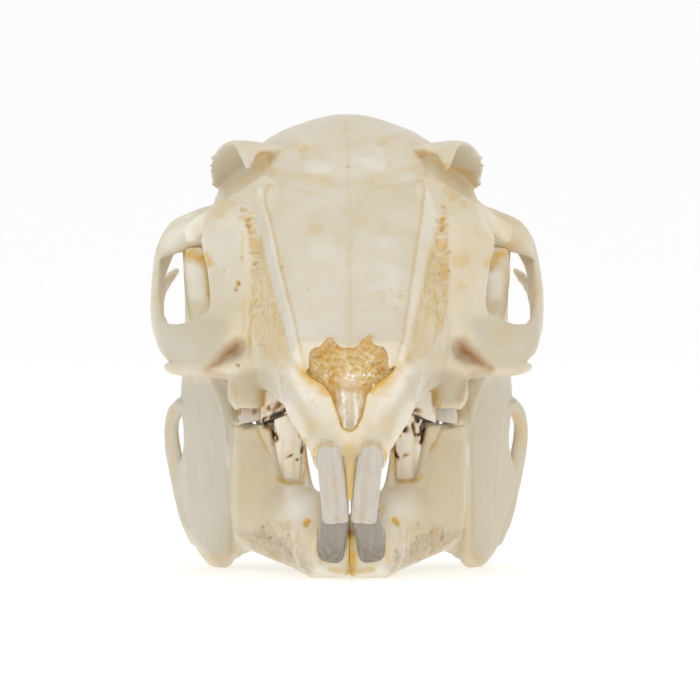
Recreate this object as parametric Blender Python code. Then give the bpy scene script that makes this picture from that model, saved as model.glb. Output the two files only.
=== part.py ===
"""Skull of a brush rabbit with its lower jaw, standing on the jaw.

The frame: +Z up, the animal looks along -Y, its left side is +X. The origin is on the surface that
the skull stands on, under the middle of its box. Values are in millimetres and become metres in the
one function that makes meshes. The palate slopes down to the nose by PITCH degrees, because a
rabbit's deep jaw angles lift the back of the skull.
"""

import bpy
import numpy as np

MM = 0.001
GAP = 0.3           # clearance between a tooth and its socket, and between the two jaw bones
PITCH = 2.0         # degrees between palate and table
BITE_Y = -10.0      # depth at which the heights of the tooth rows are given
BITE = 12.25        # height of the plane in which the cheek teeth meet
SLOPE = np.tan(np.radians(PITCH))
PAST = 1.0          # how far a socket's cutter runs past the bone's edge
BEYOND = 50.0       # a distance that is past the skull on all sides

BONE = (0.71, 0.64, 0.52)
ENAMEL = (0.62, 0.58, 0.52)
GREY_ENAMEL = (0.28, 0.25, 0.20)


def clear_scene():
    for thing in list(bpy.data.objects):
        bpy.data.objects.remove(thing, do_unlink=True)


def finish(name, color, roughness):
    """A plain material with the surface values of one of the skull's substances."""
    made = bpy.data.materials.new(name)
    made.use_nodes = True
    shader = made.node_tree.nodes["Principled BSDF"]
    shader.inputs["Base Color"].default_value = (*color, 1.0)
    shader.inputs["Roughness"].default_value = roughness
    shader.inputs["Metallic"].default_value = 0.0
    return made


def smooth(rows, steps):
    """Rows of numbers on the Catmull-Rom curve through the given rows, steps for each span."""
    ends = np.concatenate([[2 * rows[0] - rows[1]], rows, [2 * rows[-1] - rows[-2]]])
    a, b, c, d = ends[:-3, None], ends[1:-2, None], ends[2:-1, None], ends[3:, None]
    t = (np.arange(steps) / steps)[None, :, None]
    curve = 0.5 * (2 * b + (c - a) * t + (2 * a - 5 * b + 4 * c - d) * t**2
                   + (3 * b - a - 3 * c + d) * t**3)
    return np.concatenate([curve.reshape(-1, rows.shape[1]), rows[-1:]])


def solid(name, rings):
    """A closed body from rings of points, each end closed by a fan to the ring's middle. It is a
    helper, left out of the model until it gets a material."""
    rings = np.asarray(rings, float)
    rows, around = rings.shape[:2]
    points = np.concatenate([rings.reshape(-1, 3), [rings[0].mean(0), rings[-1].mean(0)]])
    here = np.arange(rows * around).reshape(rows, around)
    there = np.roll(here, -1, 1)
    quads = np.stack([here[:-1], there[:-1], there[1:], here[1:]], -1).reshape(-1, 4)
    first, last = rows * around, rows * around + 1
    fans = [(first, b, a) for a, b in zip(here[0], there[0])]
    fans += [(last, a, b) for a, b in zip(here[-1], there[-1])]
    mesh = bpy.data.meshes.new(name)
    mesh.from_pydata((points * MM).tolist(), [], quads.tolist() + fans)
    if signed_volume(mesh) < 0:
        mesh.flip_normals()
    body = bpy.data.objects.new(name, mesh)
    bpy.context.scene.collection.objects.link(body)
    body.hide_render = True
    body.display_type = "WIRE"
    return body


def shown(body, material):
    """The body as a piece that shows."""
    body.hide_render = False
    body.display_type = "TEXTURED"
    body.data.materials.append(material)
    return body


def signed_volume(mesh):
    """The volume that the faces enclose, negative where they point inwards."""
    mesh.calc_loop_triangles()
    corners = np.array([[mesh.vertices[i].co for i in t.vertices] for t in mesh.loop_triangles])
    return np.einsum("ij,ij->i", corners[:, 0], np.cross(corners[:, 1], corners[:, 2])).sum()


def strap(name, stations, sides=8, steps=2, square=0.75, side=1):
    """A band of bone carried along a path. A station is one edge, the other edge and a thickness."""
    rows = np.array([(*a, *b, t) for a, b, t in stations], float)
    rows = smooth(rows, steps)
    one, other, thick = rows[:, :3], rows[:, 3:6], rows[:, 6:]
    middle, half = (one + other) / 2, (other - one) / 2
    across = np.cross(np.gradient(middle, axis=0), half)
    across *= thick / 2 / np.linalg.norm(across, axis=1, keepdims=True)
    angle = 2 * np.pi * (np.arange(sides) + 0.5) / sides
    up = (np.sign(np.cos(angle)) * np.abs(np.cos(angle)) ** square)[None, :, None]
    out = (np.sign(np.sin(angle)) * np.abs(np.sin(angle)) ** square)[None, :, None]
    rings = middle[:, None] + half[:, None] * up + across[:, None] * out
    return solid(name, rings * (side, 1, 1))


def lump(name, form, side=1, rows=6, sides=8):
    """An ellipsoid from its centre and its half-sizes."""
    centre, radii = form
    angle = np.pi * (np.arange(rows) + 0.5) / rows
    turn = 2 * np.pi * np.arange(sides) / sides
    ball = np.stack([np.outer(np.sin(angle), np.cos(turn)),
                     np.outer(np.sin(angle), np.sin(turn)),
                     np.outer(np.cos(angle), np.ones(sides))], -1)
    return solid(name, (np.array(centre) + ball * radii) * (side, 1, 1))


def prism(name, outline, y_front, y_back):
    """A straight body along Y with the given outline of (x, z) points."""
    outline = np.array(outline, float)
    rings = [np.column_stack([outline[:, 0], np.full(len(outline), y), outline[:, 1]])
             for y in (y_front, y_back)]
    return solid(name, rings)


def block(name, low, high):
    """A box between two corners."""
    outline = [(low[0], low[2]), (high[0], low[2]), (high[0], high[2]), (low[0], high[2])]
    return prism(name, outline, low[1], high[1])


def fused(name, base, added, cutters, relief, material):
    """The base joined with added, less the cutters, and joined with relief that stands in the cuts."""
    base.name = base.data.name = name
    steps = (("added", "UNION", added), ("cut", "DIFFERENCE", cutters), ("relief", "UNION", relief))
    for word, kind, group in steps:
        if not group:
            continue
        gathered = bpy.data.collections.new(f"{name}_{word}")
        bpy.context.scene.collection.children.link(gathered)
        for helper in group:
            gathered.objects.link(helper)
            bpy.context.scene.collection.objects.unlink(helper)
        step = base.modifiers.new(word, "BOOLEAN")
        step.operation = kind
        step.solver = "EXACT"
        step.operand_type = "COLLECTION"
        step.collection = gathered
        step.use_self = kind == "UNION"
    return shown(base, material)


# The cranium's main body: one row for each section, from the nose to the nape. A row is the depth
# at the crown, the depth at the keel, and half of the section's outline from crown to keel.
SECTIONS = [
    (-31.0, -28.9, [(0, 18.5), (2.2, 18.8), (4.0, 18.6), (4.6, 17.3), (4.7, 15.7), (4.5, 14.1),
                    (4.1, 12.5), (3.5, 11.0), (2.7, 9.7), (1.4, 9.7), (0, 9.9)]),
    (-27.0, -26.4, [(0, 20.3), (2.4, 20.4), (4.4, 19.7), (5.1, 18.3), (5.3, 16.6), (5.3, 14.9),
                    (5.0, 13.4), (4.3, 12.0), (3.2, 11.0), (1.6, 11.0), (0, 11.1)]),
    (-22.0, -22.0, [(0, 22.6), (2.8, 22.6), (4.9, 21.7), (5.6, 20.3), (5.9, 18.4), (5.9, 16.6),
                    (5.6, 15.0), (4.9, 13.5), (3.6, 12.5), (1.8, 12.5), (0, 12.6)]),
    (-16.0, -16.0, [(0, 25.4), (3.1, 25.3), (5.3, 24.3), (6.4, 22.8), (6.8, 20.8), (6.9, 18.6),
                    (6.9, 16.7), (6.3, 14.7), (4.6, 13.4), (2.2, 13.4), (0, 13.5)]),
    (-11.4, -11.4, [(0, 27.6), (3.3, 27.5), (6.0, 26.6), (7.1, 24.9), (7.8, 22.4), (8.2, 20.0),
                    (8.2, 17.8), (7.7, 15.4), (6.6, 14.2), (3.6, 14.2), (0, 14.4)]),
    (-7.4, -7.4, [(0, 29.5), (3.5, 29.4), (6.5, 28.7), (7.9, 27.2), (7.8, 24.8), (8.0, 22.2),
                  (9.0, 19.2), (9.5, 16.0), (9.0, 13.4), (4.6, 14.2), (0, 14.7)]),
    (-3.0, -3.0, [(0, 31.5), (3.4, 31.4), (6.3, 30.9), (6.9, 29.6), (5.4, 27.0), (4.4, 24.0),
                  (7.4, 20.0), (9.4, 16.6), (8.9, 13.7), (4.6, 14.4), (0, 14.9)]),
    (1.0, 1.0, [(0, 33.6), (3.2, 33.4), (6.0, 32.7), (6.2, 31.2), (4.4, 28.2), (3.2, 24.6),
                (5.2, 20.4), (8.0, 17.2), (7.4, 14.8), (4.0, 15.0), (0, 16.4)]),
    (5.0, 5.0, [(0, 35.8), (3.4, 35.5), (6.2, 34.6), (6.7, 32.8), (5.2, 29.9), (4.0, 26.6),
                (3.5, 23.6), (3.4, 21.4), (3.0, 20.0), (1.6, 19.6), (0, 19.6)]),
    (9.0, 9.0, [(0, 37.3), (3.5, 36.8), (6.6, 35.5), (8.3, 33.1), (8.6, 30.2), (7.6, 27.0),
                (6.2, 24.2), (4.8, 22.0), (3.2, 20.8), (1.6, 20.4), (0, 20.4)]),
    (12.5, 12.5, [(0, 37.7), (3.7, 36.9), (7.2, 35.0), (9.8, 32.6), (10.9, 29.9), (10.6, 27.0),
                  (9.4, 24.4), (7.0, 22.4), (4.2, 21.3), (2.0, 21.0), (0, 21.0)]),
    (16.5, 16.5, [(0, 36.9), (3.8, 36.2), (7.5, 34.3), (10.3, 31.8), (11.4, 29.1), (11.3, 26.6),
                  (10.0, 24.3), (7.4, 22.6), (4.4, 21.8), (2.0, 21.5), (0, 21.5)]),
    (20.5, 20.5, [(0, 35.4), (3.7, 34.8), (7.1, 33.1), (9.5, 30.8), (10.6, 28.3), (10.3, 26.1),
                  (9.0, 24.3), (6.6, 22.9), (4.0, 22.2), (1.8, 21.9), (0, 21.9)]),
    (24.8, 24.8, [(0, 33.2), (3.3, 32.7), (6.2, 31.3), (8.2, 29.4), (9.0, 27.4), (8.6, 25.7),
                  (7.4, 24.4), (5.4, 23.3), (3.4, 22.7), (1.6, 22.5), (0, 22.5)]),
    (28.6, 28.6, [(0, 30.4), (2.5, 30.1), (4.6, 29.2), (6.0, 27.9), (6.5, 26.6), (6.2, 25.5),
                  (5.2, 24.6), (3.9, 23.9), (2.6, 23.5), (1.2, 23.3), (0, 23.3)]),
]
# The edge of the eye's opening from the notch in the brow, round the tear bone, to the root of the
# cheek arch: edge, anchor in the snout's wall, thickness.
EYE_RIM = [
    ((7.2, -0.6, 32.7), (5.2, -3.0, 31.0), 1.2),
    ((9.1, -2.6, 31.2), (5.8, -6.0, 28.8), 1.5),
    ((11.1, -4.8, 29.8), (6.6, -9.0, 26.6), 1.8),
    ((12.9, -6.4, 27.3), (7.2, -10.6, 24.4), 1.9),
    ((11.9, -7.0, 24.6), (7.3, -11.4, 22.0), 2.0),
    ((11.4, -7.4, 21.6), (7.4, -11.6, 18.6), 2.2),
    ((12.0, -7.6, 20.0), (8.0, -10.6, 16.4), 2.4),
]
# The cheek arch from the upper jaw round to the side of the braincase: upper edge, lower edge.
ARCH = [
    ((8.4, -8.4, 21.2), (8.4, -10.2, 15.4), 2.4),
    ((11.2, -7.8, 20.9), (11.2, -9.6, 15.9), 2.1),
    ((13.3, -7.4, 20.1), (13.4, -8.8, 16.2), 1.8),
    ((14.8, -6.2, 20.2), (14.6, -7.6, 16.9), 1.5),
    ((15.4, -3.0, 21.0), (15.0, -3.4, 17.4), 1.1),
    ((15.75, 2.0, 22.4), (15.4, 1.8, 18.3), 1.0),
    ((15.8, 7.0, 24.2), (15.6, 7.4, 20.0), 1.0),
    ((15.5, 10.4, 26.6), (15.6, 11.6, 22.0), 1.0),
    ((14.5, 12.0, 28.3), (14.9, 14.0, 25.6), 1.2),
    ((12.8, 12.6, 29.2), (13.0, 14.8, 26.8), 1.5),
    ((10.0, 12.8, 30.0), (10.2, 15.4, 27.2), 2.0),
]
CHEEK_SPUR = [
    ((15.6, 9.0, 24.6), (15.5, 9.4, 21.4), 0.8),
    ((15.4, 13.0, 24.9), (15.4, 13.2, 22.6), 0.8),
    ((14.6, 17.4, 25.0), (14.8, 17.2, 23.8), 0.6),
]
CHEEK_SPINE = [
    ((13.2, -8.0, 17.8), (13.0, -8.6, 15.9), 1.8),
    ((14.2, -8.6, 17.0), (14.0, -8.8, 16.1), 1.2),
    ((14.8, -9.0, 16.9), (14.7, -9.0, 16.4), 0.7),
]
# The shelf of the brow over the eye.
BROW = [
    ((7.7, -1.4, 32.5), (8.3, -1.5, 32.3), 0.6),
    ((7.2, 1.5, 33.7), (8.8, 1.2, 33.6), 0.9),
    ((5.0, 4.2, 34.4), (9.5, 4.0, 35.1), 1.1),
    ((5.4, 6.6, 34.6), (10.5, 6.6, 34.9), 1.0),
    ((7.6, 9.0, 34.2), (11.1, 9.0, 33.6), 0.9),
    ((9.2, 11.5, 33.2), (11.4, 11.5, 32.2), 0.8),
    ((10.4, 13.4, 32.0), (11.1, 13.4, 31.6), 0.7),
]
# Under the braincase: the two upright plates behind the palate, the spur behind each ear capsule,
# and the tube of the ear with its hole.
WING_PLATE = [
    ((2.2, -0.5, 21.0), (3.0, -0.5, 15.4), 1.1),
    ((2.4, 3.5, 21.0), (3.4, 3.5, 15.4), 0.9),
    ((2.6, 7.5, 21.6), (3.9, 7.5, 16.2), 0.9),
    ((3.4, 11.5, 22.4), (4.4, 11.2, 18.4), 0.9),
]
NECK_SPUR = [
    ((6.2, 24.4, 26.0), (8.2, 23.6, 26.0), 2.0),
    ((6.8, 24.8, 22.4), (8.4, 24.2, 22.4), 1.4),
    ((7.2, 25.2, 19.0), (8.0, 24.9, 19.0), 0.8),
]
EAR_TUBE = [
    ((8.4, 18.6, 22.6), (8.4, 22.2, 23.6), 3.4),
    ((10.6, 18.4, 25.0), (10.6, 21.6, 25.8), 3.0),
    ((12.0, 18.3, 26.4), (12.0, 21.2, 27.2), 2.8),
]
EAR_HOLE = [
    ((10.0, 18.9, 24.7), (10.0, 21.0, 25.3), 1.7),
    ((11.2, 18.9, 25.9), (11.2, 20.8, 26.5), 1.6),
    ((13.4, 18.9, 28.2), (13.4, 20.6, 28.8), 1.6),
]
# Lumps of the cranium: centre and half-sizes. The hole is where the spine's cord leaves.
EAR_CAPSULE = ((7.6, 18.2, 22.6), (3.4, 4.7, 4.3))
NECK_JOINT = ((3.6, 28.2, 24.8), (2.0, 2.9, 2.5))
NAPE_SHIELD = ((0, 24.4, 32.0), (3.6, 3.8, 1.8))
NAPE_HOLE = ((0, 29.4, 26.4), (2.8, 6.0, 2.6))
# The nose opening, cut from in front to NOSE_BACK, and the holes and slits of the underside.
NOSE_FRONT, NOSE_BACK = -34.0, -28.0
NOSE_OUTLINE = [(0, 18.05), (1.0, 18.5), (1.65, 18.95), (2.5, 18.45), (3.3, 17.8), (3.3, 16.8),
                (3.7, 16.4), (3.1, 15.8), (1.9, 15.1), (1.45, 14.3), (1.0, 12.8), (0.4, 11.6)]
PALATE_SLIT = [
    ((1.3, -25.4, 9.0), (1.3, -25.4, 13.6), 0.8),
    ((1.35, -21.0, 9.0), (1.35, -21.0, 14.8), 2.0),
    ((1.6, -14.0, 9.0), (1.6, -14.0, 16.0), 2.5),
    ((1.5, -9.0, 9.0), (1.5, -9.0, 16.4), 1.8),
    ((1.4, -7.6, 9.0), (1.4, -7.6, 16.4), 0.7),
]
# Openings in the thin lattice of the snout's side wall, and the hollow under the arch's root: centre
# and half-sizes. In the nose, the rolls of thin bone that fill it.
WALL_PITS = [
    ((8.7, -6.5, 29.3), (0.35, 1.0, 0.35)),
    ((8.5, -8.8, 27.9), (0.4, 1.0, 0.8)),
    ((7.5, -14.0, 24.0), (0.6, 1.2, 0.8)),
    ((7.2, -16.0, 21.6), (0.7, 1.6, 1.1)),
    ((7.8, -14.2, 19.4), (0.6, 1.4, 1.2)),
    ((6.3, -19.6, 18.6), (0.5, 1.8, 1.2)),
    ((6.9, -15.6, 16.6), (0.5, 1.2, 0.6)),
]
CHEEK_HOLLOW = ((10.0, -11.0, 17.9), (1.9, 1.7, 1.3))
NOSE_ROLLS = [
    ((1.7, -28.4, 17.0), (1.25, 1.0, 1.25)),
    ((2.7, -28.2, 16.4), (0.7, 0.8, 1.0)),
    ((0.5, -28.6, 14.0), (0.42, 1.0, 1.9)),
]
THROAT = [
    ((0, -1.2, 10.0), (0, -1.2, 17.4), 3.2),
    ((0, 3.0, 10.0), (0, 3.0, 19.0), 3.8),
    ((0, 8.0, 12.0), (0, 8.0, 20.2), 4.2),
    ((0, 12.0, 15.0), (0, 12.0, 20.8), 3.0),
]
# The wedge of bone between the two upper incisors.
INCISOR_WEDGE = [
    ((0, -28.7, 11.6), (0, -27.2, 11.6), 1.6),
    ((0, -28.6, 10.0), (0, -27.2, 10.0), 0.9),
    ((0, -28.4, 8.6), (0, -27.3, 8.6), 0.4),
]

# The jaw bone: its body from the incisor's socket back under the cheek teeth, the broad plate that
# rises to the joint and drops to the angle, the ridge on the plate's front edge, and the hook that
# the angle ends in. Edge, other edge, thickness.
JAW_BODY = [
    ((1.75, -25.0, 4.2), (1.75, -22.6, 0.4), 3.2),
    ((1.85, -23.0, 5.4), (1.85, -21.0, -0.2), 3.5),
    ((2.0, -19.0, 6.6), (2.1, -18.6, -0.1), 3.8),
    ((3.4, -14.4, 7.6), (3.7, -14.2, 0.4), 4.2),
    ((5.1, -10.0, 9.0), (5.6, -9.8, 1.0), 4.8),
    ((7.0, -6.0, 10.2), (7.0, -6.0, 1.5), 5.0),
    ((8.4, -2.0, 11.9), (8.2, -2.0, 1.6), 4.4),
    ((9.1, 2.0, 12.6), (9.3, 2.0, 1.4), 3.2),
    ((9.8, 5.4, 12.0), (10.3, 5.0, 1.6), 2.0),
    ((10.8, 8.4, 11.0), (11.0, 8.0, 2.6), 1.2),
]
JAW_PLATE = [
    ((10.5, 5.6, -0.4), (11.0, 10.6, 0.1), 1.5),
    ((9.9, 2.6, 2.0), (12.7, 15.0, 2.8), 1.3),
    ((9.5, 0.4, 6.0), (14.2, 16.4, 6.6), 1.1),
    ((9.5, 0.2, 10.0), (13.5, 12.8, 10.2), 1.0),
    ((10.0, 1.6, 14.0), (13.7, 12.6, 14.0), 1.1),
    ((11.1, 3.8, 18.0), (13.4, 11.8, 18.2), 1.1),
    ((11.8, 5.4, 22.0), (13.2, 11.6, 22.0), 1.2),
    ((12.3, 6.6, 25.0), (13.1, 11.4, 25.0), 1.5),
    ((12.6, 7.4, 26.5), (13.1, 11.0, 26.5), 1.5),
]
JAW_RIDGE = [
    ((7.8, -0.6, 10.4), (10.0, -1.0, 10.0), 1.8),
    ((8.4, 1.2, 13.0), (10.4, 0.8, 13.0), 1.6),
    ((9.1, 3.0, 16.6), (12.0, 2.8, 17.0), 1.3),
    ((11.0, 4.9, 21.0), (13.1, 4.7, 21.0), 1.2),
    ((11.5, 6.4, 24.6), (13.5, 6.2, 24.6), 1.2),
    ((11.8, 7.4, 26.2), (13.4, 7.4, 26.2), 1.2),
]
JAW_HOOK = [
    ((12.8, 12.8, 3.6), (13.8, 16.2, 3.8), 1.0),
    ((14.0, 14.4, 6.8), (14.6, 17.9, 7.0), 0.9),
    ((14.6, 15.3, 9.8), (15.1, 18.5, 10.0), 0.8),
    ((14.6, 15.5, 12.0), (15.0, 17.7, 12.0), 0.8),
    ((14.1, 15.0, 13.4), (14.4, 16.2, 13.5), 0.7),
]
CONDYLE = ((12.9, 9.0, 26.4), (1.5, 2.6, 0.9))

# Teeth. An incisor is a curved rod: front edge, back edge and width along it, root first.
UPPER_INCISOR = [
    ((1.65, -28.6, 13.4), (1.65, -26.9, 13.0), 1.9),
    ((1.72, -28.9, 10.8), (1.72, -27.2, 10.8), 1.95),
    ((1.37, -28.5, 7.6), (1.37, -26.8, 7.9), 2.0),
    ((1.13, -27.5, 4.4), (1.13, -26.5, 5.4), 1.9),
]
PEG_INCISOR = [
    ((1.5, -26.3, 13.0), (1.5, -25.2, 12.8), 1.1),
    ((1.5, -26.2, 10.8), (1.5, -25.1, 10.8), 1.1),
    ((1.4, -25.9, 8.2), (1.4, -25.1, 8.4), 1.0),
]
LOWER_INCISOR = [
    ((1.45, -22.4, 1.3), (1.45, -21.8, 3.1), 2.1),
    ((1.4, -24.4, 1.7), (1.4, -23.4, 3.3), 2.1),
    ((1.25, -25.8, 3.4), (1.25, -24.5, 4.4), 2.1),
    ((1.15, -26.15, 4.9), (1.15, -25.3, 5.3), 2.0),
]
# Cheek teeth: name, middle across, half-width, front and length at the height of the bite, and how
# far outwards the crown leans on its way down.
UPPER_CHEEK = [
    ("premolar_2", 6.0, 1.1, -10.8, 1.4, 0.3), ("premolar_3", 7.1, 1.75, -8.9, 1.9, 0.9),
    ("premolar_4", 7.2, 1.75, -6.7, 1.9, 0.9), ("molar_1", 7.1, 1.7, -4.5, 1.9, 0.9),
    ("molar_2", 6.8, 1.6, -2.3, 1.8, 0.8), ("molar_3", 6.3, 0.9, -0.2, 0.9, 0.5),
]
LOWER_CHEEK = [
    ("premolar_3", 4.6, 0.85, -10.6, 2.1, -0.2), ("premolar_4", 5.2, 1.15, -8.2, 2.0, -0.3),
    ("molar_1", 5.7, 1.25, -5.9, 2.0, -0.4), ("molar_2", 6.2, 1.25, -3.6, 2.0, -0.4),
    ("molar_3", 6.5, 0.9, -1.3, 1.4, -0.4),
]
UPPER_ROOT = BITE + 5.0     # heights of the roots' ends, as modelled
LOWER_ROOT = BITE - 7.4
LEAN_HEIGHT = 5.0           # height over which a crown leans by the given amount


def slope_at(y, height):
    """The height at depth y of a plane parallel to the palate, given its height at BITE_Y."""
    return height + (y - BITE_Y) * SLOPE


def skull_body():
    """The closed form of snout, forehead and braincase."""
    rings = []
    for y_crown, y_keel, half in SECTIONS:
        half = np.array(half, float)
        share = (half[0, 1] - half[:, 1]) / (half[0, 1] - half[-1, 1])
        y = y_crown + (y_keel - y_crown) * share
        right = np.column_stack([half[:, 0], y, half[:, 1]])
        left = (right * (-1, 1, 1))[-2:0:-1]
        rings.append(np.concatenate([right, left]))
    return solid("skull_body", rings)


def column(name, place, side, root, crown, grow=0.0):
    """A rounded cheek tooth from root to crown, heights at BITE_Y, or with grow the room for one."""
    middle, half, front, length, lean = place
    turn = 2 * np.pi * (np.arange(8) + 0.5) / 8
    x = np.sign(np.cos(turn)) * np.abs(np.cos(turn)) ** 0.5
    y = np.sign(np.sin(turn)) * np.abs(np.sin(turn)) ** 0.5
    rings = []
    for height in (root, crown):
        ring_y = front + length / 2 + y * (length / 2 + grow)
        ring_x = middle - lean * abs(height - BITE) / LEAN_HEIGHT + x * (half + grow)
        rings.append(np.column_stack([ring_x, ring_y, slope_at(ring_y, height)]) * (side, 1, 1))
    return solid(name, rings)


def sockets(teeth, side, root, crown):
    """The room for a row of cheek teeth, from GAP past their roots out through the bone's edge."""
    return [column(f"socket_{name}", place, side, root, crown, GAP) for name, *place in teeth]


def rod(name, stations, side, grow=0.0):
    """An incisor, or with grow the space that it leaves in the bone."""
    return strap(name, widened(stations, grow), steps=1, square=0.6, side=side)


def widened(stations, grow):
    """The same rod with its front, its back and both sides moved out by grow, and a deeper root."""
    rows = []
    for front, back, width in stations:
        front, back = np.array(front, float), np.array(back, float)
        out = (front - back) / np.linalg.norm(front - back) * grow
        rows.append((front + out, back - out, width + 2 * grow))
    if grow:
        step = (rows[0][0] + rows[0][1] - rows[1][0] - rows[1][1]) / 2
        step *= grow / np.linalg.norm(step)
        rows[0] = (rows[0][0] + step, rows[0][1] + step, rows[0][2])
    return rows


def cranium(material):
    """All that has grown into one bone body, with the hollows and sockets cut into it."""
    added, cutters, relief = [], [], []
    for side in (1, -1):
        added += [
            strap("eye_rim", EYE_RIM, sides=6, side=side),
            strap("cheek_arch", ARCH, sides=6, side=side),
            strap("cheek_spur", CHEEK_SPUR, sides=6, steps=1, side=side),
            strap("cheek_spine", CHEEK_SPINE, sides=6, steps=1, side=side),
            strap("brow", BROW, sides=6, side=side),
            strap("wing_plate", WING_PLATE, sides=6, steps=1, side=side),
            strap("neck_spur", NECK_SPUR, sides=6, steps=1, side=side),
            strap("ear_tube", EAR_TUBE, steps=1, square=1, side=side),
            lump("ear_capsule", EAR_CAPSULE, side),
            lump("neck_joint", NECK_JOINT, side),
        ]
        cutters += [
            strap("ear_hole", EAR_HOLE, steps=1, square=1, side=side),
            strap("palate_slit", PALATE_SLIT, sides=6, steps=1, side=side),
            rod("incisor_socket", UPPER_INCISOR, side, GAP),
            rod("peg_socket", PEG_INCISOR, side, GAP),
            lump("cheek_hollow", CHEEK_HOLLOW, side, rows=5),
        ]
        cutters += [lump("wall_pit", pit, side, rows=3, sides=6) for pit in WALL_PITS]
        cutters += sockets(UPPER_CHEEK, side, UPPER_ROOT + GAP, BITE - PAST)
        relief += [lump("nose_roll", roll, side, rows=4, sides=6) for roll in NOSE_ROLLS]
    added += [
        lump("nape_shield", NAPE_SHIELD),
        strap("incisor_wedge", INCISOR_WEDGE, sides=6, steps=1),
    ]
    nose = NOSE_OUTLINE + [(-x, z) for x, z in NOSE_OUTLINE[:0:-1]]
    cutters += [
        prism("nose_hole", nose, NOSE_FRONT, NOSE_BACK),
        strap("throat", THROAT, sides=6, steps=1),
        lump("nape_hole", NAPE_HOLE),
    ]
    return fused("cranium", skull_body(), added, cutters, relief, material)


def jaw_bone(name, side, material):
    """One half of the lower jaw, with its sockets and the flat that it stands on."""
    body = strap("body", JAW_BODY, sides=10, steps=1, side=side)
    added = [
        strap("plate", JAW_PLATE, sides=10, steps=1, side=side),
        strap("ridge", JAW_RIDGE, sides=6, steps=1, side=side),
        strap("hook", JAW_HOOK, sides=6, steps=1, side=side),
        lump("joint_head", CONDYLE, side, rows=4),
    ]
    cutters = sockets(LOWER_CHEEK, side, LOWER_ROOT - GAP, BITE + PAST)
    cutters += [
        rod("incisor_socket", LOWER_INCISOR, side, GAP),
        block("ground", (-BEYOND, -BEYOND, -BEYOND), (BEYOND, BEYOND, 0)),
        block("midline", (-side * BEYOND, -BEYOND, -BEYOND), (side * GAP / 2, BEYOND, BEYOND)),
    ]
    return fused(name, body, added, cutters, [], material)


def build():
    clear_scene()
    bone = finish("bone", BONE, 0.5)
    enamel = finish("enamel", ENAMEL, 0.3)
    grey = finish("grey_enamel", GREY_ENAMEL, 0.3)
    cranium(bone)
    for word, side in (("left", 1), ("right", -1)):
        jaw_bone(f"{word}_jaw_bone", side, bone)
        shown(rod(f"{word}_upper_incisor", UPPER_INCISOR, side), enamel)
        shown(rod(f"{word}_peg_incisor", PEG_INCISOR, side), enamel)
        shown(rod(f"{word}_lower_incisor", LOWER_INCISOR, side), grey)
        for tooth, *place in UPPER_CHEEK:
            shown(column(f"{word}_upper_{tooth}", place, side, UPPER_ROOT, BITE), enamel)
        for tooth, *place in LOWER_CHEEK:
            shown(column(f"{word}_lower_{tooth}", place, side, LOWER_ROOT, BITE - GAP), enamel)


build()
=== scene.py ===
"""The cleaned skull of a brush rabbit, standing on its lower jaw and seen from straight in front.

Lengths are in millimetres and become metres in the one function that makes meshes. +Z is up, the
animal looks along -Y and its left side is +X. Places that were read off the picture are its pixels,
across and down.
"""

import bpy
import numpy as np
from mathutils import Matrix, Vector


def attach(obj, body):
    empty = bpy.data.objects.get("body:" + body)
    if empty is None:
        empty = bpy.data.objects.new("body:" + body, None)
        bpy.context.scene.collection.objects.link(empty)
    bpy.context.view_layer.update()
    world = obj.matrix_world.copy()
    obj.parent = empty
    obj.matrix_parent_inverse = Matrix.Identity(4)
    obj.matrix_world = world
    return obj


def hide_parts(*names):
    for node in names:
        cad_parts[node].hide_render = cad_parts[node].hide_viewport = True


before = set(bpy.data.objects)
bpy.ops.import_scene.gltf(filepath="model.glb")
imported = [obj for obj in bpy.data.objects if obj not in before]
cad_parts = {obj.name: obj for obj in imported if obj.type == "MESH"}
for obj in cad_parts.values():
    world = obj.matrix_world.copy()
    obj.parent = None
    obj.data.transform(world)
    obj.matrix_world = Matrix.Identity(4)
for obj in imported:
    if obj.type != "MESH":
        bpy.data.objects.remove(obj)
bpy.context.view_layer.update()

# The camera. It looks at the skull from straight in front and far away, level with the nose opening
# and a little to the animal's right.
PICTURE = 700                                   # the picture's width and height in pixels
FOCUS = 7320.0                                  # its focal length in pixels
EYE = np.array((-4.0, -600.0, 18.0))
AIM = np.array((0.0, -30.0, 18.0))
SENSOR = 36.0


def seen(points):
    """The picture's pixels where points show: their places across and below the camera's axis, over
    their distance along it, times the focal length."""
    ahead = (AIM - EYE) / np.linalg.norm(AIM - EYE)
    right = np.array((ahead[1], -ahead[0], 0.0))
    far = (points - EYE) @ ahead
    across = PICTURE / 2 + FOCUS * ((points - EYE) @ right) / far
    down = PICTURE / 2 - FOCUS * (points[:, 2] - EYE[2]) / far
    return across, down


lens = bpy.data.cameras.new("camera")
lens.sensor_width = SENSOR
lens.lens = FOCUS * SENSOR / PICTURE
lens.clip_end = 10
camera = bpy.data.objects.new("camera", lens)
camera.location = EYE / 1000
camera.rotation_euler = Vector(AIM - EYE).to_track_quat("-Z", "Y").to_euler()
bpy.context.scene.collection.objects.link(camera)
bpy.context.scene.camera = camera

# The cranium. Braincase, snout, cheek arches and palate are one body of thin bone. Its parts are
# made as closed surfaces that overlap, then skinned together so that each flows into the next.
MM = 0.001
SKIN = 0.17                                     # width of the skin's faces
MOST = 84000                                    # points left after thinning where it can't be seen
FACE_BACK, SNOUT_BACK = 14, -3                  # how far back the picture shows the face, the snout


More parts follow.
